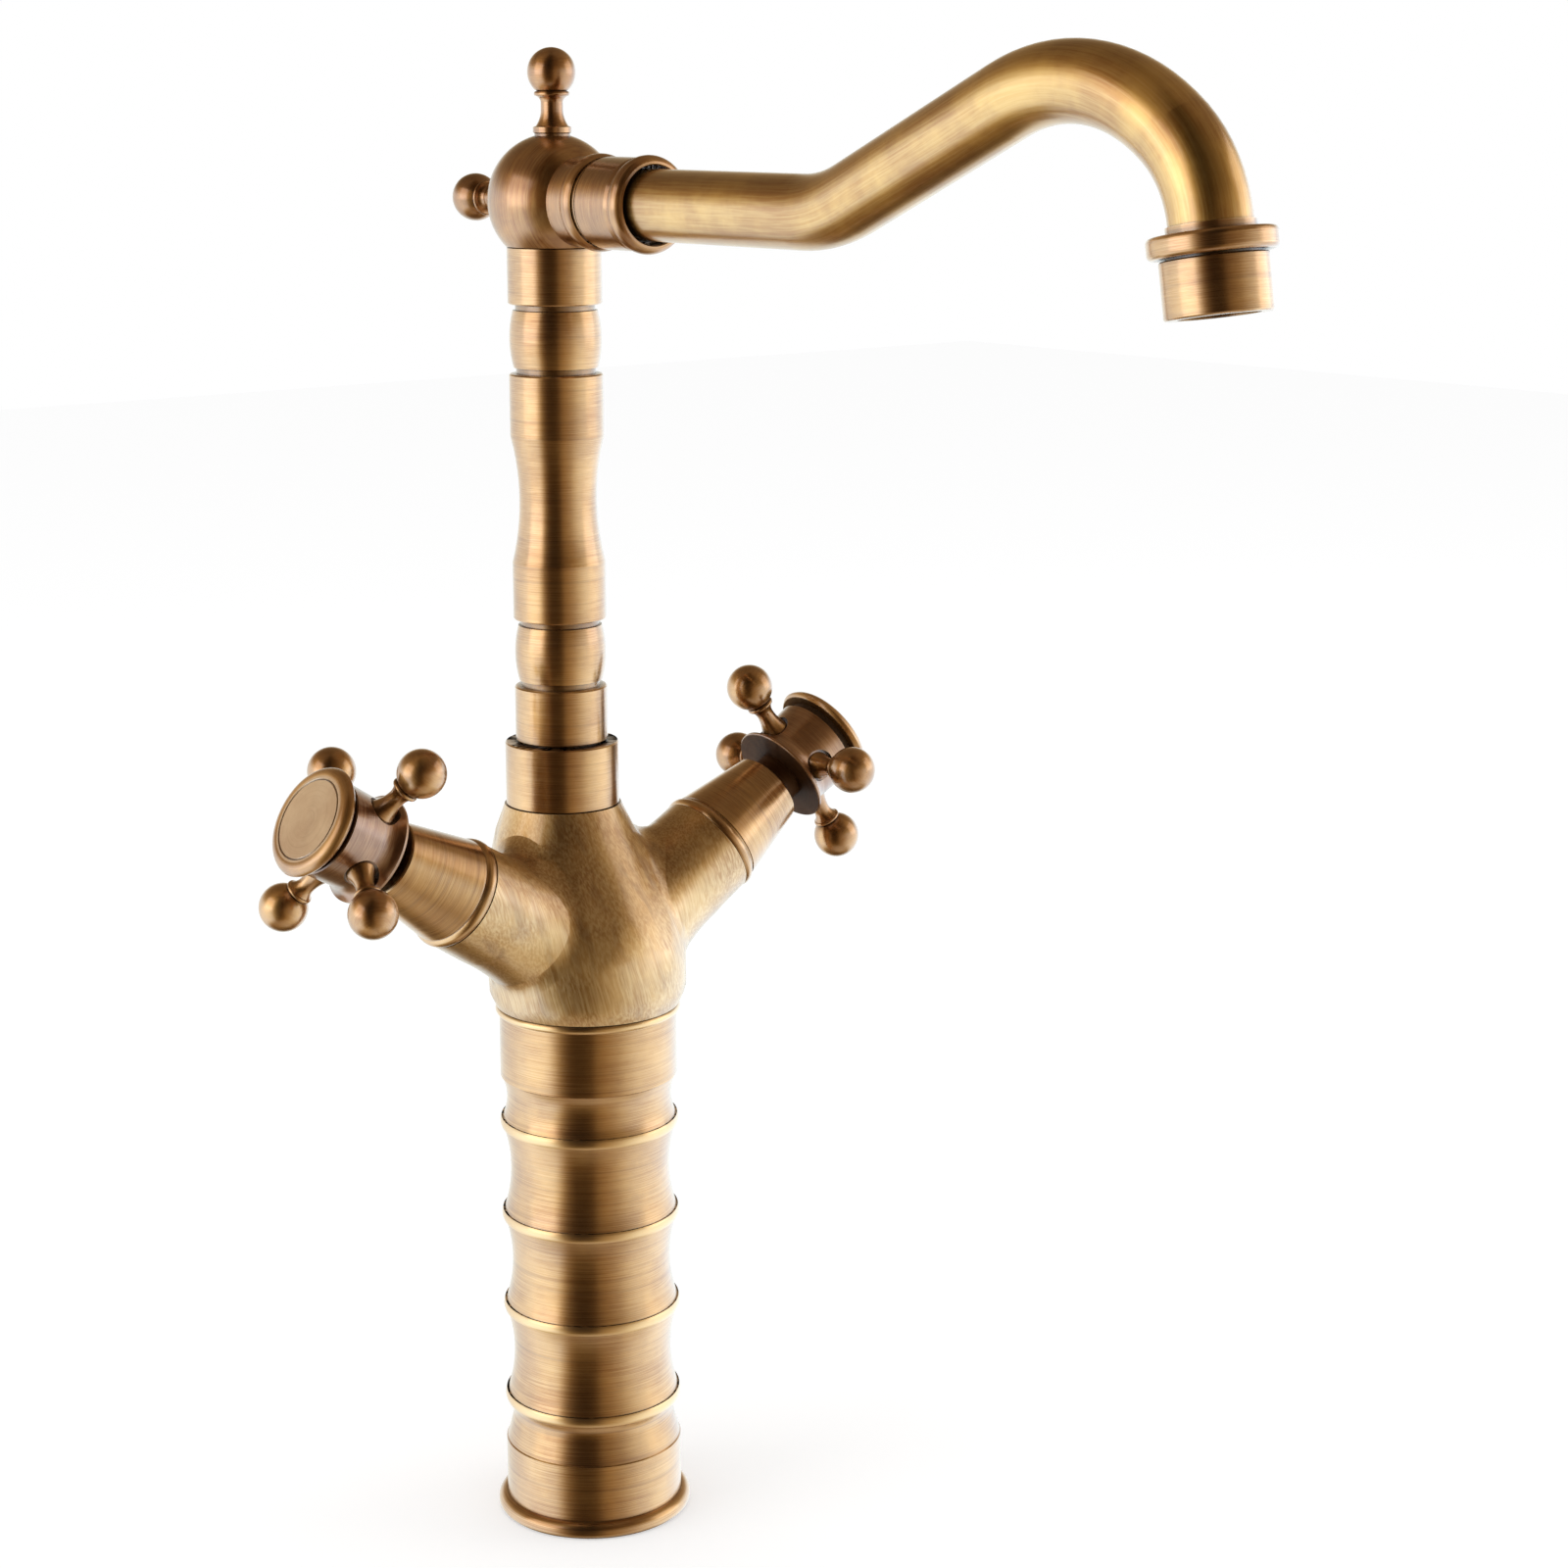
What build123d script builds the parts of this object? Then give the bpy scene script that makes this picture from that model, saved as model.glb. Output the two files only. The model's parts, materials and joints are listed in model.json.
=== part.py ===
from build123d import *
import os
from math import cos, hypot, pi, radians, sin, sqrt

os.makedirs("parts", exist_ok=True)

# Tall two-handle basin mixer tap, millimetres.
# Origin: centre of the foot ring's underside, on the counter top. +Z up, +X towards the cold handle
# on the right, -Y towards the user, where the spout points at rest.

# Clearances
press_gap = 0.05        # threads, spigots and seals inside one rigid group, each side
running_gap = 0.08      # shaft in its hole, each side
free_gap = 0.4          # visible gap between a turning piece and a fixed one
film_gap = 0.05         # water film between the ceramic discs

# Foot ring and its gasket
foot_r = 27.9
foot_t = 4.5
foot_hole_r = 17.5
foot_spigot_h = 4.0
foot_edge_top = 2.6
foot_edge_low = 1.5
gasket_r = 25.0
gasket_inner_r = 21.5
gasket_t = 1.5

# Column
column_h = 147.5
column_wall = 2.55
column_foot_r = 25.3
column_head_r = 25.0
foot_band_h = 16.5
recess_r = 23.1
recess_rise = 24.1
ridge_count = 4
first_ridge_rise = 30.1
ridge_r = 25.35
ridge_edge_r = 25.0
ridge_half_w = 1.4
ridge_step = 0.5
waist_r = 22.55
neck_share = 0.486
neck_waist_r = 23.3
head_band_h = 21.2
crown_r = 26.1
crown_half_w = 1.3

# Base insert that the fixing studs screw into
insert_t = 9.0
hose_slot_length = 31.0
hose_slot_w = 14.0
stud_hole_r = 3.0
stud_spacing = 27.0

# Mixer body
body_spigot_h = 10.0
body_seal_wire_r = 1.0
body_foot_r = 25.9
boss_h = 55.7
boss_lip_w = 0.5
boss_thread_wall = 3.4
boss_thread_h = 10.3
riser_y = 10.4
arm_angle = 31.3
arm_rise = 11.8
arm_mouth_s = 50.5
arm_mouth_r = 15.4
arm_wall = 2.75
arm_neck_s = 38.0
arm_neck_step = 0.4
arm_root_s = 12.0
arm_root_r = 21.0
arm_flare_sag = 1.5
blend_r = 7.0
inlet_x = 8.5
inlet_thread_r = 4.5
inlet_thread_length = 12.0
waterway_r = 3.5
seat_drill_r = 4.0
port_r = 3.0
chamber_depth = 21.7

# Valve pocket in each arm, depths from the arm's mouth
seat_depth = 24.5
shoulder_depth = 6.5
shoulder_w = 2.2

# Swivel socket for the riser
socket_r = 10.0
collar_wall = 2.4
collar_h = 17.8
collar_lip_t = 3.5
riser_neck_step = 1.2
split_ring_t = 3.2
split_ring_gap = 0.4
split_ring_bite = 0.5
split_ring_slot_w = 2.0
riser_foot_gap = 4.5
o_ring_rises = (6.5, 13.5)
o_ring_w = 2.0
o_ring_wire_r = 0.8
riser_foot_wall = 3.0

# Turned outline of the riser
riser_r = 12.85
riser_band_h = 15.4
riser_groove_h = 1.7
riser_groove_t = 1.95
barrel_h = 15.4
barrel_r = 12.6
barrel_end_t = 1.0
vase_low_h = 15.8
vase_waist_h = 34.8
vase_waist_r = 10.65
vase_high_h = 17.0
edge_bevel = 0.35
riser_spigot_step = 0.45
riser_spigot_h = 5.8

# Elbow ball, its side branch and the finials
elbow_r = 17.8
elbow_drop = 12.1
elbow_wall = 5.8
branch_step = 1.6
branch_bead_step = 2.45
branch_bead_u = (19.0, 23.8)
branch_groove_step = 1.2
branch_end_u = 36.0
branch_wall = 3.8
finial_seat_t = 0.7
finial_foot_r = 4.8
finial_ring_r = 5.2
finial_neck_r = 3.0
finial_bead_r = 4.8
finial_ball_r = 6.5
finial_ball_rise = 16.7
finial_stud_r = 2.5
finial_stud_length = 3.6
rear_finial_extra = 2.7

# Spout nut and tube
nut_start_u = 24.9
nut_wall = 1.65
nut_foot_bevel = 0.6
nut_lip_step = 0.65
nut_lip_length = 5.2
nut_length = 19.8
nut_web_t = 2.0
nut_web_gap = 0.2
nut_mouth_gap = 1.0
tube_r = 9.3
tube_wall = 1.0
washer_t = 1.5
tube_flange_w = 0.9
tube_flange_gap = 0.2
tube_flange_t = 1.5
tube_level_end_u = 104.0
low_bend_r = 46.0
low_bend_angle = 23.8
tube_climb = 57.4
arch_r = 49.4
arch_angle = 63.2
drop_r = 30.3
drop_angle = 41.1

# Outlet, lengths along its own axis from the tube's end
outlet_neck_step = 0.6
outlet_neck_t = 1.8
outlet_spigot_length = 2.0
outlet_ring_step = 5.0
outlet_ring_t = 4.8
outlet_thread_wall = 3.1
outlet_thread_length = 5.5
outlet_bore_r = 7.5
housing_wall = 1.3
housing_length = 12.6
housing_lip_w = 1.65
housing_lip_t = 0.8
aerator_gasket_t = 1.4
aerator_gasket_w = 2.6
screen_t = 0.5
screen_hole_r = 0.65
screen_pitch = 1.9
jet_hole_r = 1.0
jet_pitch = 2.9
perforated_edge = 2.2

# Bonnet, lengths from the arm's mouth
bonnet_ring_step = 0.35
bonnet_ring_w = 3.2
bonnet_cone_step = 0.6
bonnet_small_r = 10.8
bonnet_length = 26.9
bonnet_skirt_length = 4.5
bonnet_skirt_wall = 1.9
bonnet_wall = 2.0
bonnet_mouth_gap = 0.8
bonnet_mouth_t = 3.5

# Ceramic valve, lengths from its seat
seat_seal_gap = 0.1
seat_seal_w = 1.4
seat_seal_t = 3.5
valve_start = 1.0
valve_wall = 1.9
valve_cavity_end = 13.5
valve_waist_t = 0.8
valve_waist = (2.5, 14.0)
valve_o_ring_at = 16.2
valve_o_ring_wire_r = 0.7
valve_flange_gap = 0.35
valve_hex_gap = 0.2
valve_hex_t = 3.0
valve_neck_wall = 3.5
valve_neck_end = 36.0
valve_window_w = 5.0
valve_window_length = 4.5
fixed_disc_t = 3.5
moving_disc_gap = 0.35
moving_disc_t = 2.8
disc_port_r = 2.2
disc_port_at = 4.6
spindle_r = 4.1
spindle_foot_t = 3.0
spindle_lug_r = 1.0
spindle_lug_t = 1.2
spindle_lug_at = 6.0
spindle_slot_w = 4.6
spindle_slot_depth = 1.8
spindle_o_ring_at = 24.0
spindle_o_ring_wire_r = 0.65
clip_at = 36.3
clip_w = 2.9
clip_t = 0.8
clip_groove_t = 0.8
spline_start = 40.0
spline_end = 60.0
spline_teeth = 20
spline_depth = 0.45
spline_step = 0.1

# Cross handle
hub_gap = 5.6
hub_length = 16.4
hub_waist_r = 12.9
hub_front_step = 0.4
hub_flange_step = 2.4
hub_flange_t = 0.9
hub_flare_length = 5.2
hub_web_t = 9.0
hub_pocket_wall = 3.8
hub_tail_gap = 1.0
hub_tail_length = 14.0
screw_r = 2.0
screw_head_r = 3.5
screw_head_t = 2.6
screw_key_flats = 2.5
screw_key_depth = 1.5
screw_length = 14.0
spoke_count = 4
spoke_at = 6.3
spoke_seat_t = 0.9
spoke_seat_r = 4.6
spoke_foot_r = 3.9
spoke_neck_r = 2.4
spoke_neck_out = 5.8
spoke_bead_r = 3.9
spoke_bead_out = 9.4
spoke_ball_r = 6.6
spoke_ball_out = 15.8
spoke_stud_r = 2.0
spoke_stud_length = 3.6

# Cap on the hub's front, lengths from the hub's front face
cap_step = 2.1
cap_neck_t = 1.3
cap_gap = 2.0
cap_rim_at = 3.2
cap_t = 5.3
cap_rounding = 3.2
cap_groove_in = 0.9
cap_groove_w = 0.6
cap_groove_t = 0.4
cap_stem_length = 3.9
cap_wall = 2.0

# Side of the column, and the handle's turn about its own axis at rest
handles = {"hot": (-1, 54.2), "cold": (1, 84.2)}

# Radii that follow from the sizes above: column, swivel and riser
column_bore_r = waist_r - column_wall
boss_thread_r = socket_r + boss_thread_wall
collar_bore_r = boss_thread_r + press_gap
collar_r = collar_bore_r + collar_wall
boss_top_r = collar_r + boss_lip_w
spigot_r = socket_r - running_gap
riser_neck_r = socket_r + riser_neck_step
riser_bore_r = socket_r - riser_foot_wall
split_ring_r = boss_thread_r - split_ring_gap
split_ring_groove_r = spigot_r - split_ring_bite
riser_groove_r = riser_r - riser_groove_t
barrel_end_r = barrel_r - barrel_end_t
riser_spigot_r = riser_groove_r - riser_spigot_step

# Radii from the spout tube outwards: flange, branch and nut, and from the tube to the outlet
elbow_cavity_r = elbow_r - elbow_wall
tube_flange_r = tube_r + tube_flange_w
branch_thread_r = tube_flange_r + tube_flange_gap
branch_bore_r = branch_thread_r - branch_wall
branch_step_r = branch_thread_r + branch_groove_step
branch_r = branch_thread_r + branch_step
branch_bead_r = branch_thread_r + branch_bead_step
nut_bore_r = branch_thread_r + press_gap
nut_r = nut_bore_r + nut_wall
nut_foot_r = nut_r - nut_foot_bevel
nut_lip_r = nut_r + nut_lip_step
nut_web_r = tube_r + nut_web_gap
nut_mouth_r = tube_r + nut_mouth_gap
finial_seat = elbow_r - finial_seat_t
finial_ball_at = finial_seat + finial_ball_rise
outlet_neck_r = tube_r + outlet_neck_step
outlet_ring_r = tube_r + outlet_ring_step
outlet_thread_r = outlet_bore_r + outlet_thread_wall
housing_bore_r = outlet_thread_r + press_gap
housing_r = housing_bore_r + housing_wall
housing_lip_r = housing_bore_r - housing_lip_w
aerator_gasket_bore_r = outlet_thread_r - aerator_gasket_w
perforated_r = outlet_thread_r - perforated_edge

# Radii inside each arm, from the arm inwards
arm_neck_r = arm_mouth_r + arm_neck_step
valve_mouth_r = arm_mouth_r - arm_wall
valve_bore_r = valve_mouth_r - shoulder_w
bonnet_ring_r = arm_mouth_r + bonnet_ring_step
bonnet_big_r = arm_mouth_r - bonnet_cone_step
bonnet_skirt_bore_r = valve_mouth_r - press_gap - bonnet_skirt_wall
valve_r = valve_bore_r - press_gap
valve_cavity_r = valve_r - valve_wall
valve_waist_r = valve_r - valve_waist_t
valve_flange_r = valve_mouth_r - valve_flange_gap
valve_hex_flats = 2 * (bonnet_skirt_bore_r - valve_hex_gap) * cos(radians(30))
seat_seal_r = valve_cavity_r - seat_seal_gap
seat_seal_bore_r = seat_seal_r - seat_seal_w
fixed_disc_r = valve_cavity_r - press_gap
moving_disc_r = valve_cavity_r - moving_disc_gap
spindle_foot_r = moving_disc_r
valve_neck_r = spindle_r + valve_neck_wall
clip_groove_r = spindle_r - clip_groove_t
clip_r = clip_groove_r + clip_w
spline_tip_r = spindle_r - spline_step
spline_root_r = spline_tip_r - spline_depth
bonnet_mouth_r = valve_neck_r + bonnet_mouth_gap

# Radii of the handle, from the hub
hub_front_r = hub_waist_r + hub_front_step
hub_flange_r = hub_waist_r + hub_flange_step
hub_pocket_r = hub_front_r - hub_pocket_wall
hub_tail_r = bonnet_mouth_r - hub_tail_gap
spoke_seat_rho = hub_waist_r - spoke_seat_t
spoke_neck_rho = spoke_seat_rho + spoke_neck_out
spoke_bead_rho = spoke_seat_rho + spoke_bead_out
spoke_ball_rho = spoke_seat_rho + spoke_ball_out
cap_r = hub_front_r + cap_step
cap_neck_r = hub_front_r - cap_neck_t
cap_face_r = cap_r - cap_rounding
cap_groove_r = cap_face_r - cap_groove_in
cap_stem_r = hub_pocket_r - press_gap

# Heights that follow from the sizes above
column_top_z = foot_t + column_h
boss_top_z = column_top_z + boss_h
arm_z = column_top_z + arm_rise
collar_top_z = boss_top_z + collar_h
socket_top_z = boss_top_z + boss_thread_h
chamber_floor_z = boss_top_z - chamber_depth
riser_foot_z = chamber_floor_z + riser_foot_gap
low_band_z = collar_top_z + free_gap
low_barrel_z = low_band_z + riser_band_h + riser_groove_h
vase_z = low_barrel_z + barrel_h + riser_groove_h
high_barrel_z = vase_z + vase_low_h + vase_waist_h + vase_high_h + riser_groove_h
top_band_z = high_barrel_z + barrel_h + riser_groove_h
riser_top_z = top_band_z + riser_band_h
elbow_z = riser_top_z + elbow_drop

# Stations along each arm's axis, from where the two axes meet on the column's axis
seat_s = arm_mouth_s - seat_depth
shoulder_s = arm_mouth_s - shoulder_depth
skirt_s = arm_mouth_s - bonnet_skirt_length
bonnet_end_s = arm_mouth_s + bonnet_length
hub_start_s = bonnet_end_s + hub_gap
hub_end_s = hub_start_s + hub_length
pocket_s = hub_start_s + hub_web_t
spoke_s = hub_start_s + spoke_at
disc_s = seat_s + seat_seal_t
moving_s = disc_s + fixed_disc_t + film_gap
spindle_s = moving_s + moving_disc_t


def arm_direction(side):
    """Outward direction of one arm's axis."""
    return Vector(side * cos(radians(arm_angle)), 0, sin(radians(arm_angle)))


def arm_point(side, s):
    return Vector(0, 0, arm_z) + arm_direction(side) * s


def arm_section(side):
    """Plane through an arm's axis: local X is a radius, local Y the distance along the axis."""
    normal = (sin(radians(arm_angle)), 0, -side * cos(radians(arm_angle)))
    return Plane(origin=(0, 0, arm_z), x_dir=(0, 1, 0), z_dir=normal)


def arm_axis(side):
    return Axis((0, 0, arm_z), arm_direction(side))


def arm_cross(side, s):
    """Plane square to an arm's axis at station s, facing outwards."""
    return Plane(origin=arm_point(side, s), x_dir=(0, 1, 0), z_dir=arm_direction(side))


def turned(section, axis, corners):
    """One turned solid from its half outline, given as pairs of radius and distance along the axis."""
    with BuildPart() as piece:
        with BuildSketch(section):
            with BuildLine():
                Polyline(*corners, close=True)
            make_face()
        revolve(axis=axis)
    return piece


def ring_outline(inner, outer, start, end):
    return [(inner, start), (outer, start), (outer, end), (inner, end)]


def o_ring(section, axis, centre_r, centre_s, wire_r):
    with BuildPart() as piece:
        with BuildSketch(section):
            with Locations((centre_r, centre_s)):
                Circle(wire_r)
        revolve(axis=axis)
    return piece


def save(piece, name):
    piece.part.label = name
    export_step(piece.part, f"parts/{name}.step")


# Local X is the distance from the riser's axis, local Y the height
riser_section = Plane(origin=(0, riser_y, 0), x_dir=(1, 0, 0), z_dir=(0, -1, 0))
riser_axis = Axis((0, riser_y, 0), (0, 0, 1))
# Local X points forwards from the riser's axis, local Y is the height
spout_plane = Plane(origin=(0, riser_y, 0), x_dir=(0, -1, 0), z_dir=(-1, 0, 0))
# Local X is the distance from the branch's axis, local Y the distance forwards from the riser's axis
branch_section = Plane(origin=(0, riser_y, elbow_z), x_dir=(0, 0, 1), z_dir=(1, 0, 0))
branch_axis = Axis((0, riser_y, elbow_z), (0, -1, 0))

# Foot gasket, flush with the foot ring's underside
gasket_outline = ring_outline(gasket_inner_r + press_gap, gasket_r - press_gap, 0, gasket_t)
save(turned(Plane.XZ, Axis.Z, gasket_outline), "base_gasket")

# Foot ring with a rounded edge, a gasket groove below and a spigot inside the column
with BuildPart() as base_flange:
    with BuildSketch():
        Circle(foot_r)
    extrude(amount=foot_t)
    fillet(base_flange.edges().group_by(Axis.Z)[-1], foot_edge_top)
    fillet(base_flange.edges().group_by(Axis.Z)[0], foot_edge_low)
    with BuildSketch(Plane.XY.offset(foot_t)):
        Circle(column_bore_r - press_gap)
    extrude(amount=foot_spigot_h)
    with BuildSketch():
        Circle(foot_hole_r)
    extrude(amount=foot_t + foot_spigot_h, mode=Mode.SUBTRACT)
    with BuildSketch():
        Circle(gasket_r)
        Circle(gasket_inner_r, mode=Mode.SUBTRACT)
    extrude(amount=gasket_t, mode=Mode.SUBTRACT)
save(base_flange, "base_flange")

# Column: raised ridges with hollows between them, a plain foot band and a plain head band
foot_band_z = foot_t + foot_band_h
recess_z = foot_t + recess_rise
first_ridge_z = foot_t + first_ridge_rise
head_band_z = column_top_z - head_band_h
ridge_pitch = (head_band_z - first_ridge_z) / (ridge_count - 1 + neck_share)
ridge_heights = [first_ridge_z + i * ridge_pitch for i in range(ridge_count)]
neck_start_z = ridge_heights[-1] + ridge_half_w
crown_z = column_top_z - crown_half_w
shoulder_r = (column_foot_r + recess_r) / 2
shoulder_z = (foot_band_z + recess_z) / 2
first_low_z = first_ridge_z - ridge_half_w
flank_r = ridge_edge_r - ridge_step
with BuildPart() as column:
    with BuildSketch(Plane.XZ):
        with BuildLine():
            Line((column_bore_r, column_top_z), (column_bore_r, foot_t))
            Line((column_bore_r, foot_t), (column_foot_r, foot_t))
            Line((column_foot_r, foot_t), (column_foot_r, foot_band_z))
            Line((column_foot_r, foot_band_z), (column_foot_r - edge_bevel, foot_band_z + edge_bevel))
            ThreePointArc(
                (column_foot_r - edge_bevel, foot_band_z + edge_bevel),
                (shoulder_r - 0.2, shoulder_z),
                (recess_r, recess_z),
            )
            ThreePointArc(
                (recess_r, recess_z),
                (recess_r + 0.3, (recess_z + first_low_z) / 2 + 0.3),
                (flank_r, first_low_z),
            )
            Line((flank_r, first_low_z), (ridge_edge_r, first_low_z))
            for z in ridge_heights:
                ThreePointArc(
                    (ridge_edge_r, z - ridge_half_w), (ridge_r, z), (ridge_edge_r, z + ridge_half_w)
                )
                Line((ridge_edge_r, z + ridge_half_w), (flank_r, z + ridge_half_w))
            for z in ridge_heights[:-1]:
                ThreePointArc(
                    (flank_r, z + ridge_half_w),
                    (waist_r, z + ridge_pitch / 2),
                    (flank_r, z + ridge_pitch - ridge_half_w),
                )
                Line(
                    (flank_r, z + ridge_pitch - ridge_half_w),
                    (ridge_edge_r, z + ridge_pitch - ridge_half_w),
                )
            ThreePointArc(
                (flank_r, neck_start_z),
                (neck_waist_r, (neck_start_z + head_band_z) / 2),
                (column_head_r - edge_bevel, head_band_z),
            )
            Line((column_head_r - edge_bevel, head_band_z), (column_head_r, head_band_z + edge_bevel))
            Line((column_head_r, head_band_z + edge_bevel), (column_head_r, crown_z - crown_half_w))
            ThreePointArc(
                (column_head_r, crown_z - crown_half_w),
                (crown_r, crown_z),
                (column_head_r, column_top_z),
            )
            Line((column_head_r, column_top_z), (column_bore_r, column_top_z))
        make_face()
    revolve(axis=Axis.Z)
save(column, "column")

# Base insert screwed into the column: two stud holes and a slot for both supply hoses
insert_z = foot_t + foot_spigot_h
with BuildPart() as base_insert:
    with BuildSketch(Plane.XY.offset(insert_z)):
        Circle(column_bore_r - press_gap)
        SlotOverall(hose_slot_length, hose_slot_w, mode=Mode.SUBTRACT)
        with Locations((0, stud_spacing / 2), (0, -stud_spacing / 2)):
            Circle(stud_hole_r, mode=Mode.SUBTRACT)
    extrude(amount=insert_t)
save(base_insert, "base_insert")

# Mixer body: a smooth trunk from the column to the boss under the riser, with two arms.
# Each row: share of the boss height, radius, share of the way back to the riser's axis.
trunk_rows = [
    (0.0, body_foot_r, 0.0),
    (0.075, 27.7, 0.0),
    (0.2, 28.0, 0.0),
    (0.38, 27.1, 0.15),
    (0.56, 25.0, 0.46),
    (0.74, 22.2, 0.77),
    (0.88, 19.2, 0.94),
    (1.0, boss_top_r, 1.0),
]
seal_z = column_top_z - body_spigot_h / 2
port_from_z = chamber_floor_z + 2.0
inlet_s = inlet_x / cos(radians(arm_angle))
with BuildPart() as mixer_body:
    for share, r, back in trunk_rows:
        with BuildSketch(Plane.XY.offset(column_top_z + share * boss_h)):
            with Locations((0, back * riser_y)):
                Circle(r)
    loft()
    for side in (-1, 1):
        with BuildSketch(arm_section(side)):
            with BuildLine():
                Polyline((0, arm_mouth_s), (0, 0), (arm_root_r, arm_root_s))
                ThreePointArc(
                    (arm_root_r, arm_root_s),
                    ((arm_root_r + arm_neck_r) / 2 - arm_flare_sag, (arm_root_s + arm_neck_s) / 2),
                    (arm_neck_r, arm_neck_s),
                )
                Polyline((arm_neck_r, arm_neck_s), (arm_mouth_r, arm_mouth_s), (0, arm_mouth_s))
            make_face()
        revolve(axis=arm_axis(side))
    joins = mixer_body.edges().filter_by(GeomType.BSPLINE)
    joins = joins.filter_by_position(Axis.Z, column_top_z + 0.15 * boss_h, column_top_z + 0.8 * boss_h)
    fillet(joins, blend_r)
    with BuildSketch(Plane.XY.offset(column_top_z - body_spigot_h)):
        Circle(column_bore_r - press_gap)
    extrude(amount=body_spigot_h)
    with BuildSketch(Plane.XY.offset(boss_top_z)):
        with Locations((0, riser_y)):
            Circle(boss_thread_r)
    extrude(amount=boss_thread_h)
    # seal groove round the spigot
    with BuildSketch(Plane.XY.offset(seal_z - body_seal_wire_r - press_gap)):
        Circle(column_bore_r)
        Circle(column_bore_r - 2 * body_seal_wire_r - 3 * press_gap, mode=Mode.SUBTRACT)
    extrude(amount=2 * body_seal_wire_r + 2 * press_gap, mode=Mode.SUBTRACT)
    # threaded inlets for the hoses, and the waterways above them
    with BuildSketch(Plane.XY.offset(column_top_z - body_spigot_h)):
        with Locations((inlet_x, 0), (-inlet_x, 0)):
            Circle(inlet_thread_r)
    extrude(amount=inlet_thread_length, mode=Mode.SUBTRACT)
    with BuildSketch(Plane.XY.offset(column_top_z - body_spigot_h)):
        with Locations((inlet_x, 0), (-inlet_x, 0)):
            Circle(waterway_r)
    extrude(amount=body_spigot_h + arm_rise + inlet_s * sin(radians(arm_angle)), mode=Mode.SUBTRACT)
    # valve pockets
    for side in (-1, 1):
        with BuildSketch(arm_section(side)):
            with BuildLine():
                Polyline(
                    (0, inlet_s - waterway_r),
                    (seat_drill_r, inlet_s - waterway_r),
                    (seat_drill_r, seat_s),
                    (valve_bore_r, seat_s),
                    (valve_bore_r, shoulder_s),
                    (valve_mouth_r, shoulder_s),
                    (valve_mouth_r, arm_mouth_s + 1),
                    (0, arm_mouth_s + 1),
                    close=True,
                )
            make_face()
        revolve(axis=arm_axis(side), mode=Mode.SUBTRACT)
    # mixing chamber and riser socket
    with BuildSketch(Plane.XY.offset(chamber_floor_z)):
        with Locations((0, riser_y)):
            Circle(socket_r)
    extrude(amount=chamber_depth + boss_thread_h, mode=Mode.SUBTRACT)
    # a port from each valve pocket into the chamber
    for side in (-1, 1):
        start = Vector(side * 8.0, riser_y - 2.4, port_from_z)
        end = arm_point(side, seat_s + 2.5) + Vector(-side * 5.3, riser_y - 8.4, 8.5)
        with BuildSketch(Plane(origin=start, z_dir=end - start)):
            Circle(port_r)
        extrude(amount=(end - start).length, mode=Mode.SUBTRACT)
save(mixer_body, "mixer_body")

body_seal = o_ring(
    Plane.XZ, Axis.Z, column_bore_r - 2 * press_gap - body_seal_wire_r, seal_z, body_seal_wire_r
)
save(body_seal, "body_seal")

# Collar nut that holds the riser down
lip_z = collar_top_z - collar_lip_t
riser_collar = turned(
    riser_section, riser_axis,
    [
        (collar_bore_r, boss_top_z),
        (collar_r - edge_bevel, boss_top_z),
        (collar_r, boss_top_z + edge_bevel),
        (collar_r, collar_top_z - edge_bevel),
        (collar_r - edge_bevel, collar_top_z),
        (riser_neck_r + running_gap, collar_top_z),
        (riser_neck_r + running_gap, lip_z),
        (collar_bore_r, lip_z),
    ],
)
save(riser_collar, "riser_collar")

# Split ring under the collar's lip
ring_low_z = (socket_top_z + lip_z - split_ring_t) / 2
with BuildPart() as split_ring:
    with BuildSketch(Plane.XY.offset(ring_low_z)):
        with Locations((0, riser_y)):
            Circle(split_ring_r)
            Circle(split_ring_groove_r + press_gap, mode=Mode.SUBTRACT)
        with Locations((0, riser_y + split_ring_r)):
            Rectangle(split_ring_slot_w, split_ring_r, mode=Mode.SUBTRACT)
    extrude(amount=split_ring_t)
save(split_ring, "split_ring")

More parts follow.
